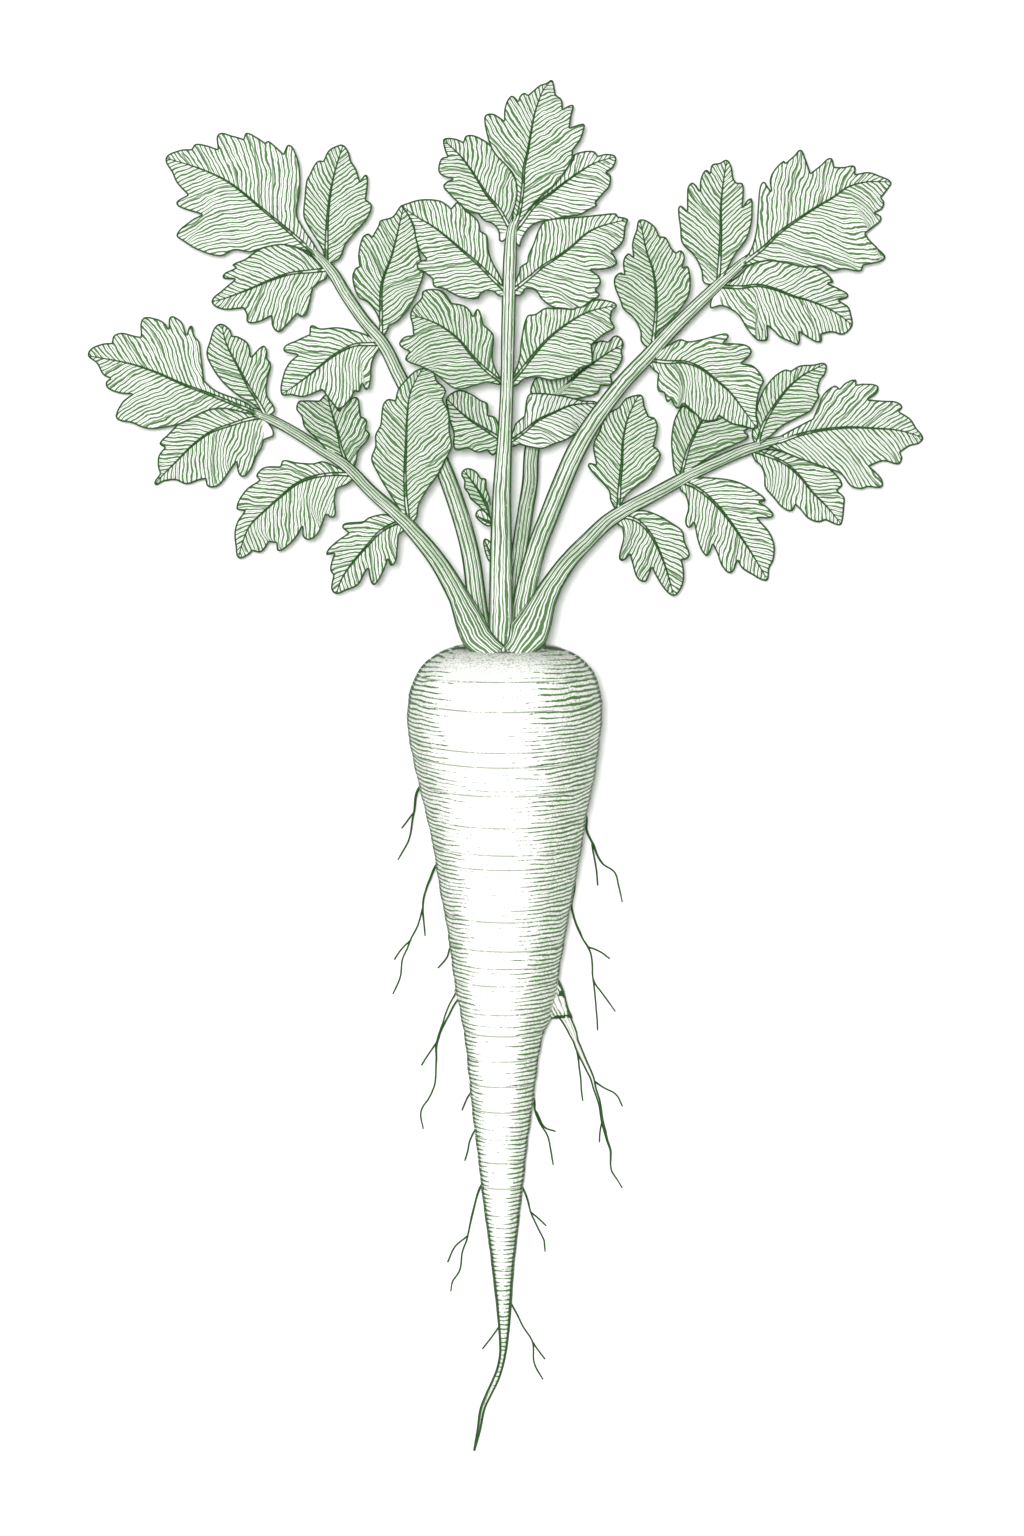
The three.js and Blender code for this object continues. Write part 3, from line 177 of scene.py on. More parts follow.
# Leaves: name; stalk rows of column, row, height, and half width and half depth in mm; and leaflets of
# midrib, one edge, the other edge, tip height, the lift of each side, and shade. A leaflet's shade is painted
# shade: how much darker it is inked.
LEAVES = [
    ("leaf_centre", [
        (501, 646, 30.8, 3.7, 2.4), (501, 622, 31.6, 3.6, 2.5), (501, 600, 32.8, 3.5, 2.7),
        (501, 547, 33.6, 3.2, 2.7), (502, 490, 32, 2.7, 2.5), (505, 430, 30, 2.1, 2.1),
        (507, 383, 28.4, 1.9, 1.9), (508, 333, 26.4, 2, 1.8), (509, 290, 24.4, 2, 1.7),
        (510, 258, 22.4, 2, 1.6), (512, 231, 20.4, 1.6, 1.3), (518, 210, 18.8, 1, 0.9),
        (523, 186, 17.2, 0.7, 0.7),
    ], [
        ([(513, 231), (519, 213), (523, 186), (524, 168), (528, 150), (531, 132), (535, 112), (543, 90),
           (552, 79)],
         [(512, 214), (516, 195), (514, 177), (506, 166), (497, 157), (491, 148), (486, 132), (484, 118),
          (486, 114), (492, 113), (497, 115), (504, 120), (504, 110), (507, 100), (512, 95), (518, 100),
          (520, 95), (524, 92), (528, 94), (535, 88), (540, 84), (546, 82)],
         [(521, 222), (535, 203), (555, 185), (568, 168), (573, 157), (573, 150), (580, 141), (583, 134),
          (585, 125), (583, 123), (570, 127), (572, 114), (574, 105), (571, 104), (563, 108), (562, 99),
          (556, 94), (554, 83)],
         8, (0.8, 0.8), 0.29),
        ([(512, 232), (499, 209), (488, 196), (479, 182), (470, 168), (459, 154), (443, 139)],
         [(514, 212), (518, 198), (517, 182), (509, 167), (499, 155), (489, 143), (475, 135), (466, 135),
          (463, 141), (456, 138), (447, 137)],
         [(501, 242), (498, 231), (492, 224), (484, 221), (478, 214), (468, 212), (459, 204), (448, 193),
          (443, 186), (447, 181), (452, 179), (441, 175), (438, 169), (441, 158), (447, 156), (444, 148)],
         11.5, (-1.4, 0.6), 0.31),
        ([(514, 234), (519, 226), (535, 205), (551, 193), (565, 182), (582, 170), (596, 162), (616, 156)],
         [(528, 203), (545, 187), (560, 170), (573, 159), (574, 154), (582, 151), (589, 150), (595, 151),
          (598, 155), (607, 153)],
         [(519, 247), (522, 240), (529, 229), (538, 223), (553, 220), (567, 217), (580, 215), (591, 209),
          (597, 206), (596, 202), (605, 192), (610, 186), (611, 175), (607, 172), (614, 166)],
         10.5, (-1.2, 0.6), 0.08),
        ([(508, 294), (492, 278), (477, 263), (463, 251), (448, 238), (434, 227), (416, 216), (402, 206)],
         [(500, 275), (492, 260), (489, 250), (488, 237), (486, 234), (481, 231), (478, 220), (466, 210),
          (461, 204), (457, 202), (451, 208), (448, 205), (439, 200), (421, 199), (409, 202)],
         [(500, 297), (493, 292), (486, 291), (481, 294), (478, 299), (461, 298), (452, 294), (443, 289),
          (434, 287), (432, 279), (423, 272), (418, 270), (417, 263), (426, 259), (419, 250), (415, 238),
          (413, 226), (407, 214)],
         16.5, (0.4, 0.9), 0.27),
        ([(510, 294), (529, 278), (542, 267), (556, 258), (571, 247), (587, 233), (601, 226), (628, 219)],
         [(519, 272), (520, 267), (527, 262), (528, 255), (533, 244), (539, 228), (546, 220), (571, 217),
          (583, 216), (601, 214), (616, 213), (618, 216)],
         [(520, 296), (526, 289), (533, 290), (538, 294), (540, 298), (551, 307), (567, 310), (580, 309),
          (592, 301), (600, 295), (596, 290), (601, 283), (599, 276), (591, 270), (607, 269), (617, 264),
          (616, 258), (612, 252), (618, 248), (624, 240), (626, 226)],
         15.5, (0.4, 0.9), 0.24),
        ([(506, 386), (487, 371), (473, 357), (460, 341), (444, 328), (428, 320), (410, 315)],
         [(497, 371), (493, 359), (494, 336), (491, 331), (484, 325), (480, 311), (477, 309), (473, 316),
          (469, 309), (463, 305), (452, 303), (444, 292), (434, 289), (423, 291), (421, 298), (413, 307)],
         [(497, 385), (487, 383), (479, 385), (460, 390), (452, 388), (434, 374), (420, 367), (409, 363),
          (405, 359), (409, 352), (403, 349), (399, 344), (404, 337), (413, 335), (412, 325)],
         24.4, (0.6, 0.8), 0.47),
        ([(508, 388), (521, 371), (532, 357), (548, 339), (567, 324), (588, 312), (617, 305)],
         [(515, 370), (519, 357), (521, 339), (527, 316), (535, 314), (545, 308), (556, 308), (583, 306),
          (593, 300), (607, 300)],
         [(517, 386), (524, 380), (537, 378), (551, 381), (572, 376), (580, 369), (591, 365), (593, 360),
          (592, 345), (604, 335), (611, 331), (615, 328), (611, 320), (612, 312)],
         22.5, (0.6, 0.8), 0.31),
        ([(503, 442), (486, 430), (470, 420), (456, 408), (446, 398)],
         [(496, 418), (488, 415), (488, 404), (481, 400), (470, 393), (458, 390)],
         [(497, 452), (493, 456), (487, 451), (477, 453), (468, 449), (455, 450), (453, 432), (449, 420),
          (447, 408)],
         20.2, (0.4, -0.6), 0.44),
        ([(505, 446), (524, 432), (537, 421), (553, 413), (572, 405), (598, 403)],
         [(513, 430), (515, 424), (524, 416), (527, 397), (532, 393), (561, 395), (583, 400)],
         [(514, 447), (519, 445), (532, 448), (543, 449), (556, 444), (567, 440), (582, 429), (594, 417)],
         13.8, (0.4, -2), 0.06),
    ]),
    ("leaf_upper_left", [
        (481, 641.5, 23.6, 3.6, 2.6), (478, 612, 22.6, 2.9, 2.6), (469, 547, 20.6, 2.6, 2.5),
        (450, 485, 19, 2.5, 2.3), (425, 425, 18, 2.2, 2.1), (399, 375, 17.4, 2, 1.9),
        (384, 345, 16.8, 1.9, 1.8), (363, 319, 15.8, 1.8, 1.7), (346, 294, 14.6, 1.8, 1.6),
        (333, 273, 13.5, 1.7, 1.5), (315, 253, 12.2, 1.2, 1.1), (290, 232, 10.8, 0.8, 0.8),
    ], [
        ([(322, 264), (296, 237), (265, 211), (229, 182), (200, 168), (165, 157)],
         [(316, 246), (302, 225), (297, 213), (300, 191), (300, 171), (297, 156), (289, 144), (283, 153),
          (279, 149), (268, 140), (265, 142), (256, 136), (246, 132), (243, 138), (233, 135), (218, 133),
          (217, 148), (205, 144), (195, 143), (191, 148), (179, 149)],
         [(308, 252), (284, 245), (267, 247), (250, 252), (234, 250), (220, 256), (198, 250), (183, 241),
          (176, 234), (190, 220), (201, 214), (178, 206), (176, 201), (187, 194), (176, 182), (172, 173)],
         2.4, (0.8, 1.2), 0.22),
        ([(330, 262), (327, 225), (330, 194), (335, 170), (343, 144)],
         [(322, 250), (307, 225), (303, 215), (304, 198), (306, 180), (309, 174), (314, 164), (318, 160),
          (323, 160), (328, 150), (336, 145)],
         [(340, 258), (346, 244), (356, 232), (367, 219), (372, 205), (366, 199), (368, 182), (366, 174),
          (360, 180), (356, 168), (351, 160), (349, 152)],
         8.5, (0.6, 0.8), 0.37),
        ([(385, 338), (381, 314), (382, 283), (392, 254), (404, 204)],
         [(378, 318), (368, 303), (358, 297), (352, 278), (355, 268), (359, 266), (358, 254), (362, 237),
          (368, 233), (372, 236), (378, 225), (380, 220), (392, 216)],
         [(388, 330), (389, 326), (398, 321), (408, 310), (415, 298), (421, 284), (424, 272), (419, 250),
          (418, 240), (412, 220)],
         11, (0.7, 0.7), 0.38),
        ([(326, 272), (310, 271), (291, 273), (272, 279), (248, 289), (224, 298), (211, 301)],
         [(314, 257), (300, 248), (284, 242), (268, 244), (256, 250), (245, 258), (232, 264), (235, 267),
          (222, 276), (234, 279), (222, 289)],
         [(326, 279), (320, 282), (313, 288), (310, 302), (307, 313), (302, 317), (297, 314), (284, 328),
          (278, 332), (272, 326), (271, 316), (258, 322), (247, 322), (246, 314), (243, 308), (222, 309)],
         5.6, (-1.2, 0.7), 0.28),
        ([(378, 348), (368, 344), (354, 345), (334, 355), (310, 374), (291, 388), (281, 394)],
         [(366, 334), (339, 327), (320, 328), (311, 325), (309, 334), (298, 339), (283, 349), (297, 355),
          (289, 362), (283, 374)],
         [(376, 354), (372, 365), (371, 380), (367, 390), (362, 384), (359, 392), (355, 391), (350, 400),
          (339, 409), (331, 402), (322, 390), (303, 397), (291, 395)],
         12.6, (0.6, 0.7), 0.25),
    ]),
    ("leaf_lower_left", [
        (489, 648.6, 36.2, 3.6, 2), (477, 637, 35, 4.4, 2.2), (470, 622, 33.2, 4.2, 2.4),
        (459, 597, 30.8, 3.1, 2.5), (437, 560, 28, 2.5, 2.3), (410, 527, 26, 2.1, 2),
        (399, 516, 25.2, 2, 1.9), (372, 492, 22.4, 1.8, 1.8), (345, 465, 19.4, 1.7, 1.7),
        (318, 447, 17, 1.6, 1.6), (291, 430, 14.6, 1.5, 1.5), (264, 416, 12.4, 1.4, 1.3),
        (237, 405, 10.4, 1, 0.9), (215, 396, 9, 0.7, 0.7),
    ], [
        ([(264, 414), (237, 405), (210, 394), (183, 384), (156, 372), (129, 363), (87, 355)],
         [(246, 402), (216, 390), (204, 380), (201, 354), (199, 341), (194, 335), (191, 325), (186, 334),
          (183, 324), (179, 319), (170, 316), (168, 328), (165, 323), (156, 318), (142, 318), (140, 336),
          (134, 335), (121, 332), (113, 335), (111, 342), (101, 343), (90, 348)],
         [(248, 414), (226, 409), (210, 410), (196, 416), (180, 424), (167, 427), (151, 429), (141, 427),
          (132, 423), (118, 420), (115, 415), (122, 401), (131, 394), (119, 393), (107, 388), (105, 382),
          (109, 378), (102, 374), (96, 363)],
         1.7, (0.8, 1.2), 0.27),
        ([(268, 414), (258, 402), (248, 386), (237, 365), (226, 343), (221, 323)],
         [(252, 404), (238, 396), (222, 382), (212, 368), (206, 354), (209, 341), (214, 327)],
         [(275, 410), (267, 394), (268, 378), (271, 364), (267, 358), (267, 350), (263, 345), (251, 356),
          (248, 343), (238, 336), (232, 335), (230, 329)],
         8.5, (1, 0.8), 0.38),
        ([(352, 470), (342, 451), (337, 430), (331, 410), (327, 394)],
         [(340, 463), (326, 450), (315, 438), (304, 427), (301, 416), (296, 409), (298, 401), (302, 400),
          (319, 400)],
         [(356, 464), (359, 451), (368, 440), (370, 434), (366, 429), (367, 420), (361, 416), (360, 408),
          (357, 397), (346, 401), (339, 410)],
         10.4, (0.4, 0.4), 0.5),
        ([(410, 525), (406, 500), (405, 473), (406, 446), (407, 419), (410, 394), (417, 378), (424, 368)],
         [(399, 510), (396, 505), (383, 484), (377, 473), (371, 459), (375, 446), (375, 435), (380, 425),
          (381, 416), (383, 404), (388, 399), (395, 400), (398, 389), (407, 378), (416, 370)],
         [(417, 518), (419, 506), (427, 491), (439, 474), (446, 460), (452, 447), (450, 430), (449, 412),
          (443, 400), (446, 390), (437, 380), (434, 372)],
         22.4, (0.7, 0.5), 0.44),
        ([(264, 418), (248, 419), (232, 424), (210, 432), (191, 446), (178, 459), (161, 476), (154, 484)],
         [(250, 409), (236, 405), (222, 404), (208, 405), (195, 411), (181, 420), (167, 434), (159, 443),
          (164, 447), (158, 455), (157, 465), (159, 473)],
         [(274, 434), (264, 440), (261, 449), (257, 455), (251, 469), (243, 477), (238, 473), (236, 462),
          (229, 472), (222, 482), (215, 487), (207, 486), (205, 479), (199, 480), (186, 484), (175, 480),
          (164, 481)],
         3.6, (-1.2, 0.7), 0.28),
        ([(352, 478), (334, 474), (313, 477), (296, 484), (280, 497), (264, 511), (250, 525), (243, 540),
           (238, 558)],
         [(340, 468), (323, 461), (313, 463), (296, 462), (283, 460), (280, 466), (264, 467), (256, 475),
          (259, 480), (245, 490), (236, 508), (244, 511), (237, 521), (234, 532), (235, 546)],
         [(350, 483), (337, 489), (335, 500), (336, 513), (333, 518), (326, 515), (318, 534), (309, 540),
          (303, 537), (302, 527), (298, 535), (288, 546), (278, 551), (276, 543), (269, 542), (261, 552),
          (252, 551), (248, 555)],
         7, (0.5, 0.7), 0.28),
        ([(402, 524), (394, 524), (380, 532), (367, 546), (353, 562), (342, 578), (336, 594)],
         [(396, 519), (385, 514), (369, 517), (363, 521), (345, 523), (342, 527), (348, 533), (334, 543),
          (326, 554), (334, 554), (331, 562), (330, 570), (333, 575), (331, 589)],
         [(404, 531), (399, 535), (398, 548), (396, 562), (391, 566), (388, 560), (383, 573), (375, 585),
          (371, 583), (368, 569), (365, 573), (358, 585), (345, 591)],
         13, (0.5, 0.7), 0.23),
    ]),
    ("leaf_upper_right", [
        (521, 641.5, 23.4, 3.8, 2.6), (524, 600, 23.2, 3.1, 2.6), (536, 550, 23.2, 2.8, 2.5),
        (548, 518, 23.2, 2.8, 2.4), (561, 485, 23.1, 2.8, 2.4), (575, 453, 22.8, 2.8, 2.3),
        (588, 430, 22.4, 2.6, 2.2), (606, 404, 21.8, 2.4, 2.1), (625, 380, 21, 2.3, 2),
        (648, 356, 20, 2.2, 1.9), (672, 330, 18.6, 2, 1.8), (705, 297, 16.2, 1.8, 1.6),
        (741, 264, 13.2, 1.4, 1.2), (765, 246, 11.4, 0.8, 0.8),
    ], [
        ([(735, 269), (763, 248), (780, 232), (798, 219), (816, 207), (833, 197), (849, 186), (868, 181),
           (892, 181)],
         [(750, 250), (756, 230), (758, 204), (760, 186), (764, 181), (768, 186), (771, 190), (770, 178),
          (776, 167), (784, 160), (786, 162), (794, 155), (801, 149), (806, 158), (811, 172), (820, 165),
          (831, 157), (835, 166), (844, 166), (855, 165), (856, 173), (869, 171), (879, 174)],
         [(750, 265), (767, 261), (785, 263), (804, 267), (822, 266), (831, 271), (844, 269), (861, 271),
          (864, 265), (882, 261), (886, 256), (879, 248), (870, 239), (866, 233), (875, 226), (881, 221),
          (882, 216), (876, 212), (883, 208), (885, 201), (882, 197), (889, 188)],
         2.4, (0.8, 1.2), 0.21),
        ([(717, 284), (720, 256), (721, 230), (721, 208), (723, 186), (727, 159)],
         [(704, 283), (701, 270), (694, 256), (682, 243), (680, 228), (678, 208), (681, 205), (687, 210),
          (687, 195), (688, 186), (693, 182), (700, 190), (700, 181), (703, 172), (707, 169), (710, 172),
          (712, 164), (720, 162)],
         [(724, 277), (728, 269), (736, 254), (747, 239), (752, 223), (753, 208), (752, 198), (748, 199),
          (743, 206), (744, 195), (743, 183), (737, 182), (734, 178), (732, 166)],
         9.5, (0.7, 0.7), 0.35),
        ([(650, 350), (656, 314), (656, 292), (653, 270), (647, 252), (643, 234), (640, 219)],
         [(641, 342), (640, 331), (633, 318), (623, 309), (620, 301), (614, 285), (615, 276), (621, 272),
          (624, 274), (623, 261), (628, 253), (633, 256), (632, 243), (636, 230)],
         [(657, 334), (670, 322), (681, 309), (689, 296), (691, 283), (690, 272), (688, 266), (683, 267),
          (685, 256), (681, 250), (676, 252), (672, 248), (666, 237), (660, 236), (654, 225)],
         14, (0.7, 0.7), 0.47),
        ([(722, 291), (741, 287), (758, 285), (776, 289), (794, 296), (809, 300), (827, 307), (842, 316),
           (853, 325)],
         [(736, 277), (750, 264), (768, 257), (788, 259), (809, 264), (824, 270), (834, 281), (829, 283),
          (840, 288), (849, 295), (840, 300), (849, 306), (852, 314)],
         [(710, 307), (721, 306), (730, 309), (739, 316), (747, 329), (757, 340), (763, 341), (768, 339),
          (768, 326), (774, 331), (780, 337), (791, 342), (799, 344), (800, 332), (809, 338), (817, 342),
          (822, 341), (822, 334), (832, 332), (844, 334)],
         4.6, (-1.4, 0.7), 0.21),
        ([(652, 366), (666, 362), (684, 362), (699, 367), (714, 378), (730, 392), (741, 406), (757, 428)],
         [(664, 347), (680, 339), (688, 341), (701, 339), (725, 333), (729, 336), (724, 343), (734, 343),
          (747, 345), (752, 351), (748, 358), (742, 363), (754, 366), (764, 380), (761, 388), (758, 400),
          (757, 415)],
         [(653, 370), (658, 374), (657, 381), (658, 391), (664, 393), (667, 402), (671, 400), (674, 406),
          (678, 409), (684, 404), (695, 414), (703, 421), (717, 420), (719, 416), (732, 424), (741, 426)],
         15.2, (0.6, 0.6), 0.3),
    ]),
    ("leaf_lower_right", [
        (519, 648.6, 36.2, 3.9, 2), (528, 634, 34.8, 5.7, 2.2), (536, 618, 32.8, 4.8, 2.4),
        (543, 602, 30.8, 3.7, 2.4), (553, 583, 28.3, 3, 2.4), (570, 559, 26, 2.5, 2.3),
        (588, 540, 23.6, 2.3, 2.2), (607, 522, 21.4, 2.2, 2.1), (627, 509, 19.6, 2.1, 2),
        (649, 497, 17.8, 2, 1.9), (676, 482, 15.8, 1.9, 1.8), (712, 464, 13.4, 1.8, 1.6),
        (745, 450, 11.4, 1.7, 1.4), (780, 440, 9.6, 1.3, 1.1), (810, 432, 8.2, 0.8, 0.8),
    ], [
        ([(765, 446), (781, 441), (801, 434), (826, 429), (851, 427), (877, 428), (900, 430), (924, 437)],
         [(790, 430), (813, 418), (818, 406), (824, 393), (835, 385), (840, 388), (846, 382), (856, 379),
          (857, 384), (864, 383), (878, 385), (878, 392), (869, 399), (884, 400), (897, 401), (903, 406),
          (900, 411), (911, 418), (917, 427)],
         [(783, 452), (803, 460), (823, 467), (841, 474), (851, 486), (861, 489), (868, 487), (882, 487),
          (883, 480), (877, 472), (870, 466), (884, 461), (899, 464), (903, 458), (901, 452), (910, 446),
          (920, 443)],
         1.7, (0.8, 1.2), 0.26),
        ([(757, 447), (763, 426), (773, 408), (788, 388), (803, 375), (816, 368), (826, 363)],
         [(752, 437), (753, 424), (756, 408), (762, 392), (767, 384), (775, 375), (785, 369), (791, 370),
          (800, 365), (813, 364)],
         [(768, 439), (783, 426), (798, 418), (811, 411), (816, 403), (820, 396), (818, 391), (821, 380),
          (826, 373)],
         8.4, (0.5, 0.7), 0.41),
        ([(680, 480), (688, 450), (698, 428), (710, 408), (722, 392)],
         [(674, 471), (672, 456), (671, 441), (673, 424), (677, 413), (684, 405), (692, 411), (699, 399),
          (710, 392)],
         [(692, 470), (712, 456), (737, 444), (749, 437), (745, 431), (752, 425), (742, 411), (738, 403),
          (731, 396)],
         11.2, (0.5, 0.5), 0.5),
        ([(618, 515), (620, 482), (622, 462), (623, 441), (627, 421), (633, 406), (639, 394)],
         [(610, 500), (609, 492), (603, 484), (597, 478), (588, 467), (589, 463), (596, 464), (593, 449),
          (594, 441), (599, 431), (602, 421), (607, 413), (618, 407), (626, 398)],
         [(625, 498), (633, 490), (649, 477), (657, 464), (661, 455), (658, 449), (654, 446), (656, 439),
          (658, 426), (655, 418), (649, 416), (645, 406), (643, 396)],
         14, (0.2, 0.7), 0.42),
        ([(752, 457), (775, 458), (788, 465), (801, 477), (813, 492), (828, 507), (842, 524)],
         [(775, 449), (803, 457), (823, 464), (835, 472), (843, 484), (838, 490), (845, 497), (845, 505),
          (844, 517)],
         [(755, 461), (760, 465), (764, 474), (765, 487), (773, 497), (783, 508), (792, 511), (796, 505),
          (801, 510), (808, 518), (818, 522), (826, 520), (838, 525)],
         3.4, (-1.2, 0.7), 0.21),
        ([(682, 486), (697, 488), (714, 502), (727, 517), (742, 538), (755, 558), (768, 580)],
         [(699, 477), (722, 478), (737, 481), (748, 486), (758, 492), (766, 500), (760, 502), (768, 507),
          (774, 515), (770, 518), (758, 518), (770, 532), (775, 545), (774, 560), (770, 568)],
         [(680, 490), (685, 495), (688, 507), (685, 522), (689, 528), (694, 523), (699, 545), (706, 556),
          (710, 553), (713, 545), (717, 553), (722, 566), (731, 573), (738, 561), (742, 568), (753, 575),
          (762, 580)],
         4.6, (0.6, 0.7), 0.2),
        ([(620, 520), (636, 520), (649, 532), (659, 550), (666, 568), (674, 596)],
         [(628, 512), (644, 510), (659, 515), (671, 522), (683, 531), (685, 541), (690, 554), (687, 559),
          (682, 560), (684, 568), (684, 581), (680, 591)],
         [(617, 524), (622, 528), (623, 538), (620, 550), (619, 559), (623, 561), (630, 555), (632, 563),
          (637, 578), (645, 582), (649, 576), (652, 568), (657, 578), (666, 591)],
         9, (0.6, 0.7), 0.25),
    ]),
    ("leaf_back", [
        (512, 638.5, 18, 2.7, 2.2), (516, 575, 16.6, 2.4, 2.2), (525, 515, 15.4, 2.3, 2.1),
        (530, 481, 14.8, 2.3, 2), (532, 449, 14.2, 2.2, 1.9), (540, 420, 13.6, 1.8, 1.6),
        (556, 395, 13, 1.2, 1.1), (572, 382, 12.6, 0.8, 0.8),
    ], [
        ([(546, 410), (560, 392), (578, 374), (597, 360), (612, 350), (624, 344)],
         [(536, 404), (530, 392), (535, 378), (552, 362), (572, 352), (590, 344), (601, 340), (608, 341),
          (615, 335), (621, 337)],
         [(560, 402), (583, 398), (598, 393), (601, 386), (612, 384), (611, 375), (616, 371), (623, 358),
          (622, 350)],
         11, (0.4, 0.4), 0.36),
    ]),
    ("leaf_young", [
        (502, 644, 26, 1.2, 1.2), (500, 600, 27.2, 1.2, 1.2), (497, 560, 28, 1.1, 1.1),
        (494, 522, 27.6, 1, 1), (490, 505, 27, 0.8, 0.8),
    ], [
        ([(492, 520), (484, 500), (474, 484), (463, 470)],
         [(491, 507), (490, 497), (487, 489), (486, 479), (481, 478), (477, 472), (469, 468)],
         [(484, 512), (477, 505), (470, 499), (468, 494), (464, 488), (464, 481), (461, 475)],
         24.6, (0.6, 0.6), 0.55),
        ([(494, 524), (484, 520), (475, 515)],
         [(488, 514), (480, 509)],
         [(489, 527), (480, 522)],
         25.6, (0.4, 0.4), 0.0),
        ([(497, 566), (490, 553), (484, 539)],
         [(495, 552), (490, 541)],
         [(489, 562), (484, 549)],
         26.4, (0.4, 0.4), 0.28),
    ]),
]

# Rows of the deepest creases that ring the root.
MAJOR_CREASES = [675, 697, 737, 752, 782, 815, 843, 858, 912, 942, 960, 978, 1008, 1030, 1056, 1082, 1108,
                 1136, 1160, 1186, 1214, 1240, 1268, 1300]
# The two rootlets thick enough to swell the root where they leave it, and the widest web between, in mm.
FORKS = {6: 2.0, 18: 10.0}
# How dark each stalk is inked, as painted shade.
STALK_SHADE = {"leaf_centre": 0.25, "leaf_upper_left": 0.38, "leaf_lower_left": 0.55,
               "leaf_upper_right": 0.35, "leaf_lower_right": 0.5, "leaf_back": 0.6, "leaf_young": 0.8}
SHADED_LEAVES = ("leaf_back", "leaf_young")


# ---------------------------------------------------------------- lines and values

def row_at(row):
    """A grid row in mm towards the leaves."""
    return (REST_ROW - row) * GRID


def plan(point):
    """A grid point in mm."""
    return np.array([(point[0] - MID_COLUMN) * GRID, row_at(point[1])])


def placed(rows):
    """Rows that start with a grid point, with that point in mm."""
    return np.array([[*plan(row), *row[2:]] for row in rows], float)


def unit(value):
    """A value kept between 0 and 1."""
    return np.clip(value, 0, 1)


def bump(gap, width):
    """1 where the gap is nothing, falling to a third at the width."""
    return np.exp(-(gap / width) ** 2)


def cross(a, b):
    """Cross products of two lists of plan vectors."""
    return a[..., 0] * b[..., 1] - a[..., 1] * b[..., 0]


def steps_of(line):
    return np.linalg.norm(np.diff(line, axis=0), axis=1)


def run_of(line):
    """Length of a line up to each of its points."""
    return np.concatenate([[0.0], np.cumsum(steps_of(line))])


def shares_of(line):
    """Share of the length at each point of a line, from 0 to 1."""
    run = run_of(line)
    return run / run[-1]


def interp_columns(at, own, table):
    """Every column of a table, read at other places than its own."""
    return np.stack([np.interp(at, own, column) for column in table.T], -1)


def smooth(points, step, corners=(), closed=False):
    """A curve through points, sampled about every step. It may turn sharply at its corners."""
    p = np.asarray(points, float)
    n = len(p)
    tangents = np.zeros_like(p)
    for i in range(n):
        before = p[(i - 1) % n] if closed or i > 0 else p[i]
        after = p[(i + 1) % n] if closed or i < n - 1 else p[i]
        tangents[i] = (after - before) / max(np.linalg.norm((after - before)[:2]), 1e-9)
    out = []
    for i in range(n if closed else n - 1):
        j = (i + 1) % n
        chord = p[j] - p[i]
        reach = np.linalg.norm(chord[:2])
        start = chord / reach if i in corners else tangents[i]
        end = chord / reach if j in corners else tangents[j]
        parts = max(1, int(round(reach / step)))
        for k in range(parts):
            t = k / parts
            out.append((1 + 2 * t) * (1 - t) ** 2 * p[i] + t * (1 - t) ** 2 * reach * start
                       + t * t * (3 - 2 * t) * p[j] + t * t * (t - 1) * reach * end)
    if not closed:
        out.append(p[-1])
    return np.array(out)


def to_line(points, line):
    """Distance from each point to a line, and the share of the line's length nearest to it."""
    a, b = line[:-1], line[1:]
    along = b - a
    size = np.maximum((along ** 2).sum(1), 1e-12)
    t = unit(((points[:, None, :] - a) * along).sum(2) / size)
    gap = np.linalg.norm(points[:, None, :] - (a + t[..., None] * along), axis=2)
    best = gap.argmin(1)
    rows = np.arange(len(points))
    own = shares_of(line)
    share = own[best] + t[rows, best] * (own[best + 1] - own[best])
    return gap[rows, best], share


def is_left(points, line):
    """Which points lie to the left of a line, seen along it."""
    near = to_line(points, line)[1]
    own = shares_of(line)
    ahead, back = (interp_columns(unit(near + away), own, line) for away in (0.01, -0.01))
    return cross(ahead - back, points - interp_columns(near, own, line)) > 0


def inside(points, loop):
    """Which points lie inside a closed plan loop."""
    x, y = points[:, 0][:, None], points[:, 1][:, None]
    ax, ay = loop[:, 0], loop[:, 1]
    bx, by = np.roll(ax, -1), np.roll(ay, -1)
    crosses = (ay > y) != (by > y)
    with np.errstate(divide="ignore", invalid="ignore"):
        at = ax + (y - ay) / (by - ay) * (bx - ax)
    return (crosses & (x < at)).sum(1) % 2 == 1


def noise_line(rng, count, knots):
    """A jagged random line of values about zero, with straight runs between its knots."""
    values = rng.normal(0, 1, knots + 3)
    return np.interp(np.linspace(0, knots, count), np.arange(knots + 3), values)


def ring_turns(sides):
    """The angle of each corner of a ring."""
    return (np.arange(sides) + 0.5) / sides * 2 * np.pi


def side_share(turn):
    """0 on one side of a tube and 1 on the other, alike above and below."""
    return np.arccos(np.cos(turn)) / np.pi


# ---------------------------------------------------------------- meshes

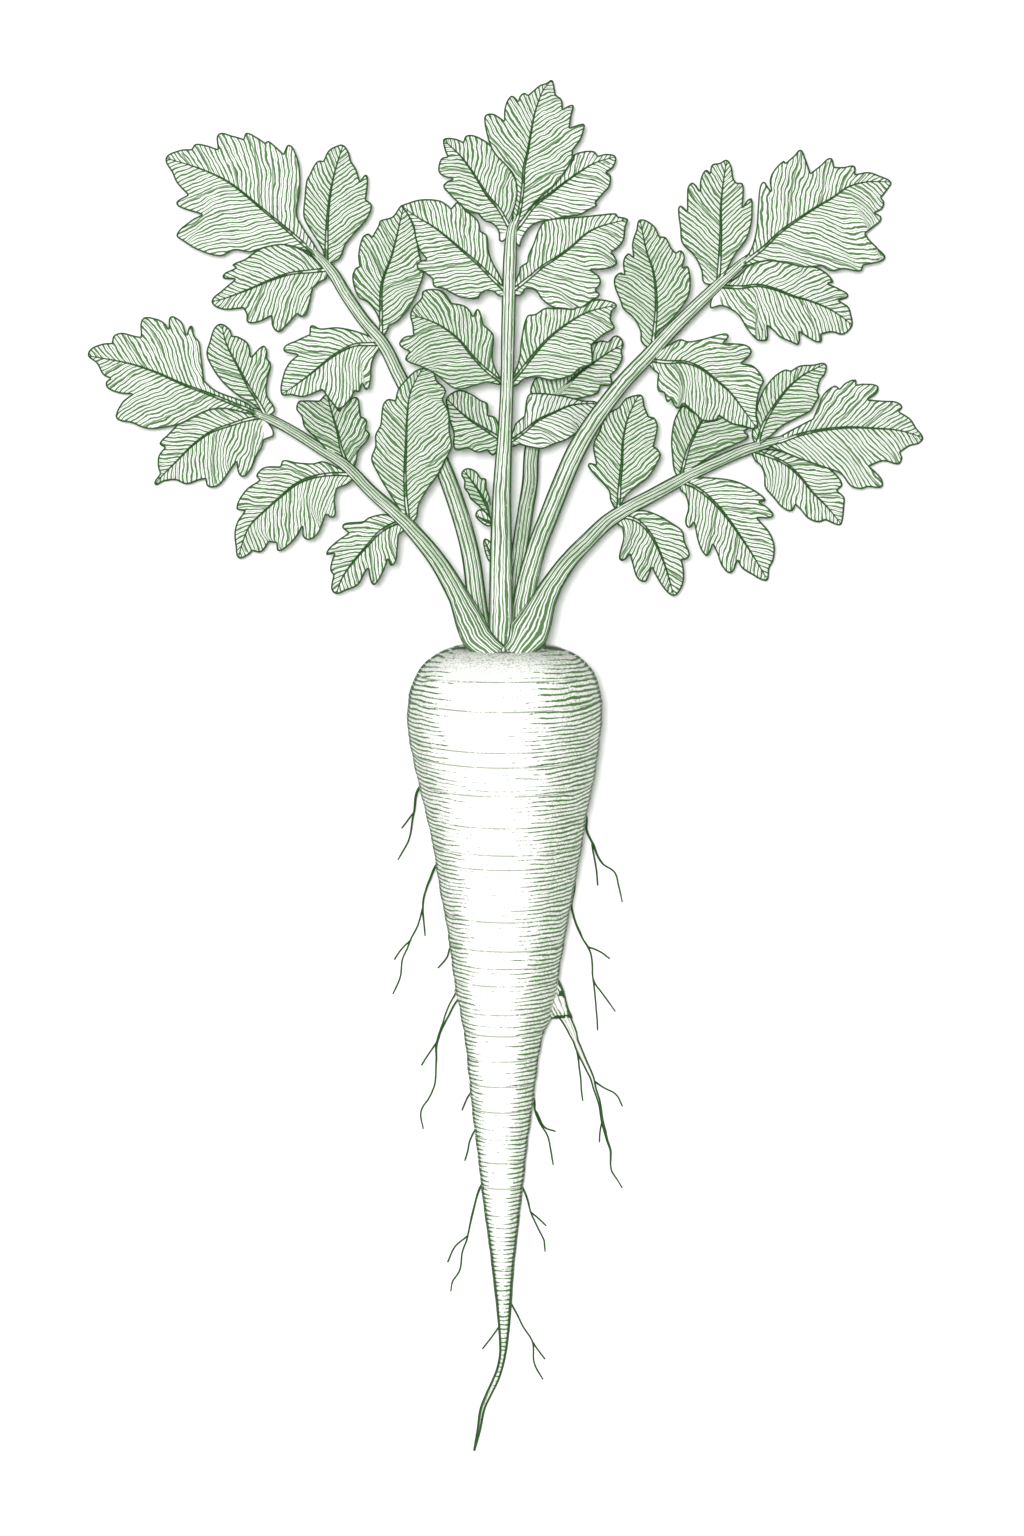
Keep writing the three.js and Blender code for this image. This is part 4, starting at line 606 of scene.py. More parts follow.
class Build:
    """Collects points, faces and per-point values of one piece."""

    FIELDS = ("rib", "vein", "edge", "fine", "shade", "share", "groove", "ring", "flank")

    def __init__(self):
        self.points, self.faces, self.slots = [], [], []
        self.values = {name: [] for name in self.FIELDS}
        self.sharp = set()
        self.count = 0

    def add(self, points, **values):
        """Adds points with their values and returns the number of the first."""
        first = self.count
        self.points.append(np.asarray(points, float))
        self.count += len(points)
        for name in self.FIELDS:
            given = np.asarray(values.get(name, 0.0), float)
            self.values[name].append(np.broadcast_to(given, (len(points),)))
        return first

    def face(self, corners, slot=0):
        self.faces.append(tuple(int(c) for c in corners))
        self.slots.append(slot)

    def band(self, above, below, sides, slot=0):
        """Faces between two rings of points."""
        for s in range(sides):
            t = (s + 1) % sides
            self.face((above + s, above + t, below + t, below + s), slot)

    def fan(self, ring, sides, hub):
        """Faces from a ring to one point."""
        for s in range(sides):
            self.face((ring + s, ring + (s + 1) % sides, hub))

    def piece(self, name, materials, node, slot):
        """Makes the mesh, inside the CAD box, and puts it in its node's place."""
        mesh = bpy.data.meshes.new(name)
        points = np.clip(np.concatenate(self.points) * MM, *CAD_BOX)
        mesh.from_pydata(points.tolist(), [], self.faces)
        mesh.polygons.foreach_set("material_index", self.slots)
        mesh.polygons.foreach_set("use_smooth", [True] * len(self.faces))
        for field, parts in self.values.items():
            data = np.concatenate(parts).astype(np.float32)
            if np.any(data != 0):
                mesh.attributes.new(field, "FLOAT", "POINT").data.foreach_set("value", data)
        if self.sharp:
            flags = [tuple(sorted(edge.vertices)) in self.sharp for edge in mesh.edges]
            mesh.attributes.new("sharp_edge", "BOOLEAN", "EDGE").data.foreach_set("value", flags)
        for material in materials:
            mesh.materials.append(material)
        mesh.update()
        piece = bpy.data.objects.new(name, mesh)
        bpy.context.scene.collection.objects.link(piece)
        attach(piece, "root")
        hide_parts(node)


def tube(build, path, wide, deep, sides, slot=0, **values):
    """A closed elliptical tube along a path, its width level with the table.

    wide and deep are radii, one for each ring or for each point. So are the values.
    """
    def spread(value):
        value = np.asarray(value, float)
        return np.broadcast_to(value[:, None] if value.ndim == 1 else value, (len(path), sides))

    turn, at, end = ring_turns(sides), np.arange(len(path)), len(path) - 1
    along = path[np.minimum(at + 1, end)] - path[np.maximum(at - 1, 0)]
    across = np.column_stack([along[:, 1], -along[:, 0], np.zeros(len(path))])
    along, across = (v / np.linalg.norm(v, axis=1)[:, None] for v in (along, across))
    up = np.cross(across, along)
    rings = (path[:, None] - (np.cos(turn) * spread(wide))[..., None] * across[:, None]
             + (np.sin(turn) * spread(deep))[..., None] * up[:, None])
    first = build.add(rings.reshape(-1, 3), **{key: spread(value).ravel() for key, value in values.items()})
    last = first + end * sides
    for ring in range(first, last, sides):
        build.band(ring, ring + sides, sides, slot)
    build.face([first + s for s in reversed(range(sides))], slot)
    build.face([last + s for s in range(sides)], slot)


def side_gap(turn, radius):
    """Distance of each upper point of a tube from its two sides, seen from above; 2 mm more below."""
    return np.outer(radius, 1 - np.abs(np.cos(turn))) + 2.0 * (np.sin(turn) < -0.15)


# ---------------------------------------------------------------- leaves

class RibFrame:
    """Places points by how far along a midrib and how far out from it they are, past its ends too."""

    OVERRUN = 14.0   # mm of straight line added at both ends

    def __init__(self, rib):
        ends = [rib[0] - rib[3], rib[-1] - rib[-4]]
        back, ahead = (end / np.linalg.norm(end) * self.OVERRUN for end in ends)
        self.length = steps_of(rib).sum()
        self.line = np.concatenate([[rib[0] + back], rib, [rib[-1] + ahead]])
        self.run = run_of(self.line)

    def locate(self, points):
        """Distance from the midrib, and distance along it from the leaflet's base."""
        gap, share = to_line(points, self.line)
        return gap, share * self.run[-1] - self.OVERRUN

    def lean(self, along):
        foot, tip = VEIN_LEAN
        return foot + (tip - foot) * unit(along / self.length)

    def root_of(self, gap, along):
        """Where on the midrib the vein through a point starts, in mm from the base."""
        return along - self.lean(along) * gap ** VEIN_BEND

    def count_of(self, root):
        """How many fine veins leave the midrib before a place on it, at even gaps between the veins."""
        step, margin = 0.2, 30.0
        place = np.arange(-margin, self.length + margin, step)
        count = np.cumsum(step / (VEIN_PITCH * np.sqrt(1 + self.lean(place) ** 2)))
        return np.interp(root, place, count)

    def point_at(self, along):
        return interp_columns(along + self.OVERRUN, self.run, self.line)

    def vein_to(self, tip, hand):
        """The vein from the midrib to a lobe's tip, on its left for a hand of 1, and where it starts."""
        gap, along = self.locate(tip[None])
        root = self.root_of(gap, along)[0]
        out = np.arange(0.0, gap[0] - VEIN_STOP, EDGE_STEP)
        where = np.full(len(out), root)
        for _ in range(12):
            where = root + self.lean(where) * out ** VEIN_BEND
        keep = where > VEIN_START
        out, where = out[keep], where[keep]
        ahead = self.point_at(where + 0.6) - self.point_at(where - 0.6)
        ahead /= np.maximum(np.linalg.norm(ahead, axis=1), 1e-9)[:, None]
        normal = np.column_stack([-ahead[:, 1], ahead[:, 0]]) * hand
        return self.point_at(where) + normal * out[:, None], root


def lobe_tips(points, turns):
    """Index of the furthest point of each lobe between two notches of an edge."""
    last = len(points) - 1
    notches = [0] + [i + 1 for i, turn in enumerate(turns) if turn < NOTCH_TURN] + [last]
    tips = []
    for start, end in zip(notches, notches[1:]):
        if end - start < 2:
            continue
        reach = cross(points[start + 1:end] - points[start], points[end] - points[start])
        reach = reach / max(np.linalg.norm(points[end] - points[start]), 1e-9)
        if reach.max() > 0.35:
            tips.append(start + 1 + int(np.argmax(reach)))
    return tips


class Leaflet:
    """One leaflet: a thin toothed blade with impressed side veins, and its raised midrib."""

    def __init__(self, stalk, rib_rows, left_rows, right_rows, tip_height, lift, shade):
        self.tip_height, self.lift, self.shade = tip_height, lift, shade
        line = placed(stalk)[:, :3]
        _, share = to_line(plan(rib_rows[0])[None], line[:, :2])
        self.seat = interp_columns(share[0], shares_of(line[:, :2]), line)
        self.rib = np.array([self.seat[:2]] + [plan(p) for p in rib_rows[1:]])
        self.edges = [placed(rows) for rows in (left_rows, right_rows)]
        self.base = self.seat[2] + 0.4

    def trace_outline(self):
        """The edge as a smooth loop with sharp notches, and the turn at each of its points."""
        corners = np.concatenate([self.rib[:1], self.edges[0], self.rib[-1:], self.edges[1][::-1]])
        ahead, behind = np.roll(corners, -1, 0), np.roll(corners, 1, 0)
        self.sign = 1 if cross(corners, ahead).sum() > 0 else -1
        into, onward = corners - behind, ahead - corners
        turns = self.sign * np.degrees(np.arctan2(cross(into, onward), (into * onward).sum(1)))
        sharp = {0} | set(np.flatnonzero(turns < CORNER_TURN).tolist())
        self.loop = smooth(corners, EDGE_STEP, sharp, closed=True)
        self.closed = np.concatenate([self.loop, self.loop[:1]])
        tip = len(self.edges[0]) + 1
        self.turns = (turns[1:tip], turns[:tip:-1])
        self.rib_line = smooth(self.rib, EDGE_STEP)

    def find_veins(self):
        """A side vein to each lobe on each side, with where it leaves the midrib."""
        self.veins, self.roots = ([], []), ([], [])
        for side, (edge, turns) in enumerate(zip(self.edges, self.turns)):
            hand = -self.sign if side == 0 else self.sign
            walk = np.concatenate([self.rib[:1], edge, self.rib[-1:]])
            for i in lobe_tips(walk * [1, -hand], turns):
                curve, root = self.frame.vein_to(walk[i], hand)
                if len(curve) < 4 or root > self.frame.length * LAST_VEIN:
                    continue
                misses = to_line(walk[i][None], curve)[0][0]
                apart = all(abs(root - other) > VEIN_SPACING for other in self.roots[side])
                if inside(curve[1:], self.loop).all() and misses < VEIN_MISS and apart:
                    self.veins[side].append(curve)
                    self.roots[side].append(root)

    def triangulate(self, rng):
        """Fills the loop with triangles that follow its midrib and side veins."""
        lines = [self.rib_line] + self.veins_in_order()
        low, high = self.loop.min(0), self.loop.max(0)
        across = np.arange(low[0], high[0], MESH_STEP)
        up = np.arange(low[1], high[1], MESH_STEP * 0.866)
        grid_x, grid_y = np.meshgrid(across, up)
        grid_x = grid_x + (np.arange(len(up)) % 2)[:, None] * MESH_STEP / 2
        grid = np.stack([grid_x.ravel(), grid_y.ravel()], 1) + rng.uniform(-JITTER, JITTER, (grid_x.size, 2))
        grid = grid[inside(grid, self.loop)]
        for line, clearance in [(self.closed, EDGE_CLEARANCE)] + [(line, LINE_CLEARANCE) for line in lines]:
            grid = grid[to_line(grid, line)[0] > clearance]

        wires = [(i, (i + 1) % len(self.loop)) for i in range(len(self.loop))]
        start = len(self.loop)
        for line in lines:
            wires += [(start + i, start + i + 1) for i in range(len(line) - 1)]
            start += len(line)
        flat = np.concatenate([self.loop] + lines + [grid])
        made = delaunay_2d_cdt([Vector(p) for p in flat], wires, [], 1, 1e-4)
        return np.array([p[:] for p in made[0]]), [face for face in made[2] if len(face) == 3]

    def arch(self, near):
        """Height of the leaflet's spine at a share of its length."""
        return self.base + (self.tip_height - self.base) * (0.55 * near + 0.45 * near ** 2)

    def veins_in_order(self):
        return self.veins[0] + self.veins[1]

    def lobe_wave(self, side_of, root):
        """1 along each side vein and -1 midway between two, from the base to the tip."""
        wave = np.zeros(len(root))
        for side in (0, 1):
            mine = side_of == side
            marks = np.sort(np.array(self.roots[side] + [-4.0, self.frame.length + 3.0]))
            place = np.clip(np.searchsorted(marks, root[mine]), 1, len(marks) - 1)
            low, high = marks[place - 1], marks[place]
            wave[mine] = np.cos(2 * np.pi * unit((root[mine] - low) / (high - low)))
        return wave

    def fine_veins(self, plane, gap, root, phase):
        """How many fine veins lie between a point and the base, with a slight waver."""
        x, y = plane.T
        warp = np.sin(x * 0.5 + phase[0]) + np.sin(y * 0.45 + phase[1]) + 0.5 * np.sin((x + y) * 0.9)
        return self.frame.count_of(root + 0.3 * warp * unit(gap / 4))

    def add_to(self, build, rng):
        self.trace_outline()
        self.frame = RibFrame(self.rib_line)
        phase = rng.uniform(0, 6.28, 2)
        self.find_veins()
        plane, faces = self.triangulate(rng)

        rib, near = to_line(plane, self.rib_line)
        edge, _ = to_line(plane, self.closed)
        out = rib / np.maximum(rib + edge, 1e-9)
        middle = self.edges[0][len(self.edges[0]) // 2]
        first_is_left = is_left(middle[None], self.rib_line)[0]
        side_of = np.where(is_left(plane, self.rib_line) == first_is_left, 0, 1)
        gap, along = self.frame.locate(plane)
        root = self.frame.root_of(gap, along)
        fine = self.fine_veins(plane, gap, root, phase)
        vein = np.full(len(plane), 9.0)
        for side in (0, 1):
            mine = side_of == side
            for curve in self.veins[side]:
                vein[mine] = np.minimum(vein[mine], to_line(plane[mine], curve)[0])

        follow = unit(np.maximum(0, near - VEIN_SLANT * rib / self.frame.length) + TIP_LEAD * out)
        height = self.arch(follow) + np.where(side_of == 0, *self.lift) * out
        height += RIPPLE * self.lobe_wave(side_of, root) * out ** 2
        height += QUILT * (1 - bump(np.minimum(np.minimum(vein, rib), edge + 0.5), 1.1))
        height += FINE_DENT * np.cos(2 * np.pi * fine) * unit(edge) - VEIN_DENT * bump(vein, 0.35)
        x, y = plane.T
        a, b, c, d = rng.uniform(0, 6.28, 4)
        height += BUCKLE * out * (np.sin(x * 0.55 + a) * np.sin(y * 0.6 + b)
                                  + 0.5 * np.sin(x * 1.3 + c) * np.sin(y * 1.2 + d))
        thick = BLADE - THIN_EDGE * bump(edge, 0.5)
        under = height - thick - KEEL * (1 - near) * bump(rib, 0.55) - SIDE_KEEL * bump(vein, 0.3)
        height = np.maximum(height, LOWEST_TOP)
        under = np.minimum(np.maximum(under, LOWEST_UNDER), height - 0.3)

        fields = dict(rib=rib, vein=vein, edge=edge, fine=fine, shade=self.shade, share=near)
        top = build.add(np.column_stack([plane, height]), **fields)
        bottom = build.add(np.column_stack([plane, under]), **fields)
        self.close(build, faces, top, bottom)
        self.add_midrib(build)

    def close(self, build, faces, top, bottom):
        """Adds both skins and joins them round the edge, with sharp creases there."""
        used = {}
        for p, q, r in faces:
            build.face((top + p, top + q, top + r))
            build.face((bottom + p, bottom + r, bottom + q))
            used.update({(p, q): True, (q, r): True, (r, p): True})
        for i, j in used:
            if (j, i) not in used:
                build.face((top + j, top + i, bottom + i, bottom + j))
                build.sharp.update(tuple(sorted((skin + i, skin + j))) for skin in (top, bottom))

    def add_midrib(self, build):
        spine = smooth(self.rib, 0.9)
        shares = shares_of(spine)
        spine, shares = spine[shares < 0.97], shares[shares < 0.97]
        radius = RIB_FOOT * min(1.0, self.frame.length / 22) * (1 - shares) + RIB_TIP
        height = np.maximum(self.arch(shares) - 0.12 + 0.1 * (1 - shares), 0.5)
        tube(build, np.column_stack([spine, height]), radius, radius * 0.8, 12, 1, fine=0.5,
             edge=side_gap(ring_turns(12), radius), ring=shares * self.frame.length, shade=self.shade * 0.4)


def add_stalk(build, rows, shade, rng, sides=96):
    """A leaf stalk with lengthwise furrows, its foot sunk in the crown."""
    (column, row, height, wide, deep), next_row = rows[0], rows[1]
    drift = (column - next_row[0]) / (next_row[1] - row)
    rows = [(column - drift * FOOT_ROWS, row + FOOT_ROWS, height, wide * 1.04, deep)] + rows
    table = placed(rows)
    path = smooth(table[:, :3], 0.8)
    shares = shares_of(path[:, :2])
    wide, deep = interp_columns(shares, shares_of(table[:, :2]), table[:, 3:]).T
    turn = ring_turns(sides)
    over = side_share(turn)
    lines = int(np.clip(round(2.6 * wide.mean()), 5, 9))
    wander = 0.2 * np.outer(noise_line(rng, len(path), 12), np.sin(np.pi * over))
    phase = over * lines + 0.12 * np.sin(over * 9 + rng.uniform(0, 6)) + wander
    furrow = FURROW * bump(0.5 - np.abs(phase % 1.0 - 0.5), 0.2)
    furrow = furrow * (np.clip(wide / 2, 0.4, 1.3) / wide)[:, None]
    hollow = 0.1 * np.outer(unit(shares * 8 - 0.6), bump(turn / np.pi * 2 - 1, 0.45))
    size = 1 - furrow - hollow
    tube(build, path, size * wide[:, None], size * deep[:, None], sides, 1, fine=phase, rib=wide,
         edge=side_gap(turn, wide), flank=-np.cos(turn)[None], ring=run_of(path), shade=shade)


def leaf(name, stalk, leaflets, materials):
    build = Build()
    rng = np.random.default_rng(sum(ord(c) * (i + 3) for i, c in enumerate(name)))
    add_stalk(build, stalk, STALK_SHADE[name], rng)
    for leaflet in leaflets:
        Leaflet(stalk, *leaflet).add_to(build, rng)
    build.piece(name + "_skin", materials, name, "leaf_shaded" if name in SHADED_LEAVES else "leaf_green")


# ---------------------------------------------------------------- root

class Profile:
    """The root's half width, axis and lean at any place along it, from its crown to its tail."""

    def __init__(self):
        rim = (CROWN_ROW, MID_COLUMN - CROWN_RADIUS / GRID, MID_COLUMN + CROWN_RADIUS / GRID)
        rows = [rim] + ROOT_OUTLINE
        edges = [smooth([plan((row[side], row[0])) for row in rows], 0.5) for side in (1, 2)]
        self.y = np.unique(np.round(np.concatenate([edge[:, 1] for edge in edges]), 4))[::-1]
        left, right = (np.interp(-self.y, -edge[:, 1], edge[:, 0]) for edge in edges)
        self.middle, self.radius = (left + right) / 2, (right - left) / 2
        self.top, self.bottom = self.y[0], self.y[-1]
        self.level = self.radius.max() - FLAT_SINK

    def radius_at(self, y):
        return np.interp(-y, -self.y, self.radius)

    def axis_at(self, y):
        """Sideways place and height of the axis."""
        r = self.radius_at(y)
        height = np.where(y > row_at(FLAT_ROW), self.level, r - np.minimum(FLAT_SINK, 0.15 * r))
        return np.interp(-y, -self.y, self.middle), height

    def lean_at(self, y):
        return CROWN_LEAN * unit(1 - (self.top - y) / (CROWN_LEAN_ROWS * GRID))

    def tilt_at(self, w):
        return RING_TILT * unit((self.top - w - 1.5) / 14) * unit((w - self.bottom) / 30)


def ring_places(profile, majors):
    """Where along the root the mesh has rings, closer at the crown, the creases and the big fork."""
    first, last, step = FINE_ROWS
    rows = list(np.concatenate([profile.top - np.linspace(0, 1, 14) ** 1.6 * 3.0,
                                np.arange(profile.top - 3.4, profile.bottom + 0.4, -ROW_STEP),
                                np.arange(row_at(first), row_at(last), -step)]))
    for y in majors:
        rows = [r for r in rows if abs(r - y) > 0.5] + [y - 0.62, y - 0.28, y, y + 0.28, y + 0.62]
    rows = np.array(sorted(set(rows), reverse=True) + [profile.bottom])
    return rows[rows <= profile.top]


def relief(w, turn, radius, majors, minors):
    """How far a ring at w stands out from the profile, and how deep in a main crease it is."""
    push, crease = np.zeros(len(turn)), 0.0
    for major in majors:
        if abs(w - major) < 1.2:
            cut = bump(w - major, CREASE_WIDTH)
            crease = max(crease, cut)
            push += 0.05 * bump(w - major - 0.7, 0.35) - CREASE_DEPTH * cut
    for at, middle, width in minors:
        if abs(w - at) < 1.0:
            away = np.abs((turn - middle + np.pi) % (2 * np.pi) - np.pi)
            push -= MINOR_DEPTH * bump(w - at, MINOR_WIDTH) / (1 + np.exp((away - width) * 5))
    sine, cosine = np.sin(turn), np.cos(turn)
    push += 0.14 * np.sin(w * 0.21 + 2 * cosine) * np.sin(w * 0.077 + 3 * sine)
    push += 0.08 * np.sin(w * 0.9 + 4 * cosine + 2 * sine)
    return push * np.clip(radius / 9, 0.1, 1), crease


def swell_at_fork(w, turn, size, radius, axis, line, web):
    """Grows a ring outwards to meet a side root, with a smooth web between the two."""
    x, height = axis
    fork_x, fork_height, fork_radius = interp_columns(-w, -line[:, 1], line[:, [0, 2, 3]])
    fork_radius *= 0.92
    reach = np.arange(*FORK_REACH)[:, None]
    away = size + reach
    aside, above = x + away * np.cos(turn) - fork_x, height + away * np.sin(turn) - fork_height
    to_fork = np.hypot(aside, above) - fork_radius
    gap = np.hypot(fork_x - x, fork_height - height).mean() - radius.mean() - fork_radius
    blend = np.clip(2.3 * gap, min(2.0, fork_radius * 0.5), web)
    share = unit(0.5 + 0.5 * (to_fork - reach) / blend)
    field = to_fork * (1 - share) + reach * share - blend * share * (1 - share)
    beyond = field > 0
    return size + np.where(beyond.any(0), reach[beyond.argmax(0), 0], 0)


def outline_gap(across, sine, radius, swell):
    """Distance of each point of a ring from the root's outline seen from above, more below."""
    gap = np.minimum(across.max() - across, across - across.min())
    gap = gap + np.clip((radius - 4) * 0.03, 0, OUTLINE_SHIFT)
    return np.where((sine > 0) | (swell > 0.1), gap, gap + 1.0) * (1.0 + 0.25 * unit(2.5 - radius))


def mark_arches(build, swells):
    """Gives an outline to what faces the tail where a side root leaves, two rings wide."""
    skin = np.array(build.points)
    facing = np.cross(np.gradient(skin, axis=0), np.roll(skin, -1, 1) - np.roll(skin, 1, 1))
    steep = facing[..., 1] / np.maximum(np.linalg.norm(facing, axis=2), 1e-9) > 0.6
    steep[:-2] |= steep[1:-1] | steep[2:]
    build.values["edge"] = list(np.where(steep & (np.array(swells) > 0.2), 0.3, build.values["edge"]))


def root_piece(material):
    """The root's skin: tilted growth rings with fine creases, and the forks of its side roots."""
    rng = np.random.default_rng(41)
    build = Build()
    profile = Profile()
    top, bottom = profile.top, profile.bottom
    majors = [row_at(row) for row in MAJOR_CREASES]
    minors = np.arange(top - 4, bottom + 4, -MINOR_STEP)
    minors = minors + rng.uniform(-0.4, 0.4, len(minors))
    minors = [(at, rng.uniform(0, 2 * np.pi), rng.uniform(0.7, 2.6)) for at in minors]
    forks = []
    for index, web in FORKS.items():
        line = smooth(placed(ROOTLETS[index]), 0.4)
        forks.append((line[np.argsort(-line[:, 1])], web))
    big_fork = forks[-1][0]

    turn = ring_turns(ROOT_SIDES)
    sine, cosine = np.sin(turn), np.cos(turn)
    swells = []
    for w in ring_places(profile, majors):
        y = np.full(ROOT_SIDES, w)
        for _ in range(4):
            y = w - profile.tilt_at(w) * profile.radius_at(y) * sine
        y = np.clip(y, bottom, top)
        radius, axis = profile.radius_at(y), profile.axis_at(y)
        push, crease = relief(w, turn, radius, majors, minors)
        plain = radius + push
        size = plain
        for line, web in forks:
            if line[-1, 1] < w < line[0, 1]:
                size = swell_at_fork(w, turn, size, radius, axis, line, web)
        swells.append(size - plain)
        swell = unit(swells[-1] / 1.2)
        y = y - profile.lean_at(y) * sine
        points = np.column_stack([axis[0] + size * cosine, y, np.maximum(axis[1] + size * sine, 0.0)])
        across = points[:, 0]
        # shade: how heavily the crown under the stalks is stippled, painted shade that fades over 9 mm.
        build.add(points, ring=w, flank=cosine * (1 - 0.6 * swell), groove=crease * (1 - swell),
                  edge=outline_gap(across, sine, radius, swell), rib=swell * (cosine > 0),
                  vein=across - np.interp(-w, -big_fork[:, 1], big_fork[:, 0]), fine=side_share(turn) * 3,
                  share=(top - w) / (top - bottom),
                  shade=np.interp(top - y - profile.lean_at(top) * sine, [0, 3, 9], [1, 0.6, 0]))
    mark_arches(build, swells)
    last = build.count - ROOT_SIDES
    for ring in range(0, last, ROOT_SIDES):
        build.band(ring, ring + ROOT_SIDES, ROOT_SIDES)
    tip = build.add([points.mean(0) + [0, -0.05, 0]], ring=bottom, share=1.0)
    build.fan(last, ROOT_SIDES, tip)
    add_crown_dish(build, profile, turn)
    build.piece("root_body", [material], "taproot", "root_skin")


def add_crown_dish(build, profile, turn):
    """The shallow dish that the stalks stand in, closed to the first ring of the root."""
    inner = 0
    for scale, drop in CROWN_DISH:
        ring = np.column_stack([CROWN_RADIUS * scale * np.cos(turn),
                                profile.top - drop - CROWN_LEAN * scale * np.sin(turn),
                                profile.level + CROWN_RADIUS * scale * np.sin(turn)])
        # shade 1: the dish is stippled all over as painted shade.
        at = build.add(ring, ring=profile.top - drop, flank=np.cos(turn), shade=1.0, edge=9.0)
        build.band(at, inner, ROOT_SIDES)
        inner = at
    hub = build.add([[0, profile.top - DISH_DEPTH, profile.level]], ring=profile.top - 3, shade=1.0, edge=9.0)
    for s in range(ROOT_SIDES):
        build.face((inner + (s + 1) % ROOT_SIDES, inner + s, hub))


def rootlet_piece(material):
    build = Build()
    rng = np.random.default_rng(7)
    for rows in ROOTLETS:
        line = smooth(placed(rows), 0.75)
        n = len(line)
        run = shares_of(line[:, :2])
        for axis in (0, 1):
            line[:, axis] += noise_line(rng, n, max(3, n // 4)) * unit(run * 6) * 0.12
        radius = line[:, 3] * (0.92 + 0.06 * noise_line(rng, n, max(3, n // 3)))
        radius = np.maximum(radius - 0.12 * unit(1.4 - line[:, 3]), 0.25)
        radius *= np.where(run > 0.95, 0.85, 1.0)
        line[:, 2] = np.maximum(line[:, 2], radius + 0.03)
        foot = rows[0][3]
        turn = ring_turns(32 if foot > 1.2 else 16)
        tube(build, line[:, :3], radius, radius, len(turn), edge=side_gap(turn, radius),
             fine=side_share(turn)[None] * (5 if foot > 3 else 3))
    build.piece("rootlets", [material], "taproot", "root_skin")


# ---------------------------------------------------------------- materials

def srgb(red, green, blue):
    """A display colour from 0 to 255 as the shader's own linear colour."""
    linear = [c / 12.92 if c <= 0.04045 else ((c + 0.055) / 1.055) ** 2.4
              for c in (red / 255, green / 255, blue / 255)]
    return (*linear, 1.0)


INK = srgb(48, 106, 18)
DEEP_INK = srgb(26, 72, 12)      # outlines
# The leaf colour in painted shade, mixed into blades and stalks by their shade value.
PAINTED_SHADE_LEAF = srgb(158, 178, 142)


class Value:
    """What a shader socket gives. Sums, differences and products of values add the nodes they need."""

    def __init__(self, nodes, socket):
        self.nodes, self.socket = nodes, socket

    def __add__(self, other):
        return self.nodes.math("ADD", self, other)

    def __sub__(self, other):
        return self.nodes.math("SUBTRACT", self, other)

    def __rsub__(self, other):
        return self.nodes.math("SUBTRACT", other, self)

    def __mul__(self, other):
        return self.nodes.math("MULTIPLY", self, other)


class Nodes:
    """A material, with short names for the few shader nodes used here."""

    def __init__(self, name):
        self.material = bpy.data.materials.new(name)
        self.material.use_nodes = True
        self.tree = self.material.node_tree
        self.shader = self.tree.nodes["Principled BSDF"]
        self.place = Value(self, self.tree.nodes.new("ShaderNodeTexCoord").outputs["Object"])

    def put(self, socket, value):
        if isinstance(value, Value):
            self.tree.links.new(value.socket, socket)
        else:
            socket.default_value = value

    def make(self, kind, output, settings=(), **inputs):
        """Adds a node. Inputs whose names are i and a number are set by that number."""
        node = self.tree.nodes.new(kind)
        for name, value in dict(settings).items():
            setattr(node, name, value)
        for name, value in inputs.items():
            key = int(name[1:]) if name[1:].isdigit() else name.replace("_", " ")
            self.put(node.inputs[key], value)
        return Value(self, node.outputs[output])

    def attribute(self, name):
        """A value that the mesh holds at its points."""
        return self.make("ShaderNodeAttribute", "Fac", {"attribute_name": name})

    def math(self, operation, a, b=0.0):
        return self.make("ShaderNodeMath", 0, {"operation": operation}, i0=a, i1=b)

    def most(self, first, *others):
        """The greatest of several values."""
        for other in others:
            first = self.math("MAXIMUM", first, other)
        return first

    def band(self, value, low, high):
        """0 at low, 1 at high, smooth between; low may be above high."""
        ends = {"From_Min": min(low, high), "From_Max": max(low, high),
                "To_Min": float(low > high), "To_Max": float(low < high)}
        return self.make("ShaderNodeMapRange", "Result", {"interpolation_type": "SMOOTHSTEP"},
                         Value=value, **ends)

    def mix(self, share, a, b):
        """Colour a, turning into colour b as the share goes from 0 to 1."""
        return self.make("ShaderNodeMix", 2, {"data_type": "RGBA"}, Factor=share, i6=a, i7=b)

    def ridge(self, value):
        """1 on a line, at every whole number, and -0.5 midway between lines."""
        return self.math("ABSOLUTE", self.math("FRACT", value) - 0.5) * 3.0 - 0.5

    def vector(self, x, y, z):
        return self.make("ShaderNodeCombineXYZ", 0, i0=x, i1=y, i2=z)

    def noise(self, at, detail=2.0, roughness=0.5):
        return self.make("ShaderNodeTexNoise", "Fac",
                         Vector=at, Scale=1.0, Detail=detail, Roughness=roughness)

    def lumps(self, per_metre, detail):
        """Noise fixed to the object, with so many lumps to a metre, or so many along each axis."""
        scale = per_metre if isinstance(per_metre, tuple) else (per_metre,) * 3
        return self.noise(self.make("ShaderNodeMapping", "Vector", Vector=self.place, Scale=scale), detail)

    def finish(self, colour, roughness, height=None, relief=0.1, distance=0.0003, specular=0.22):
        self.put(self.shader.inputs["Base Color"], colour)
        self.put(self.shader.inputs["Roughness"], roughness)
        self.shader.inputs["Specular IOR Level"].default_value = specular
        if height is not None:
            bumps = self.make("ShaderNodeBump", "Normal", Strength=relief, Distance=distance, Height=height)
            self.put(self.shader.inputs["Normal"], bumps)
        return self.material


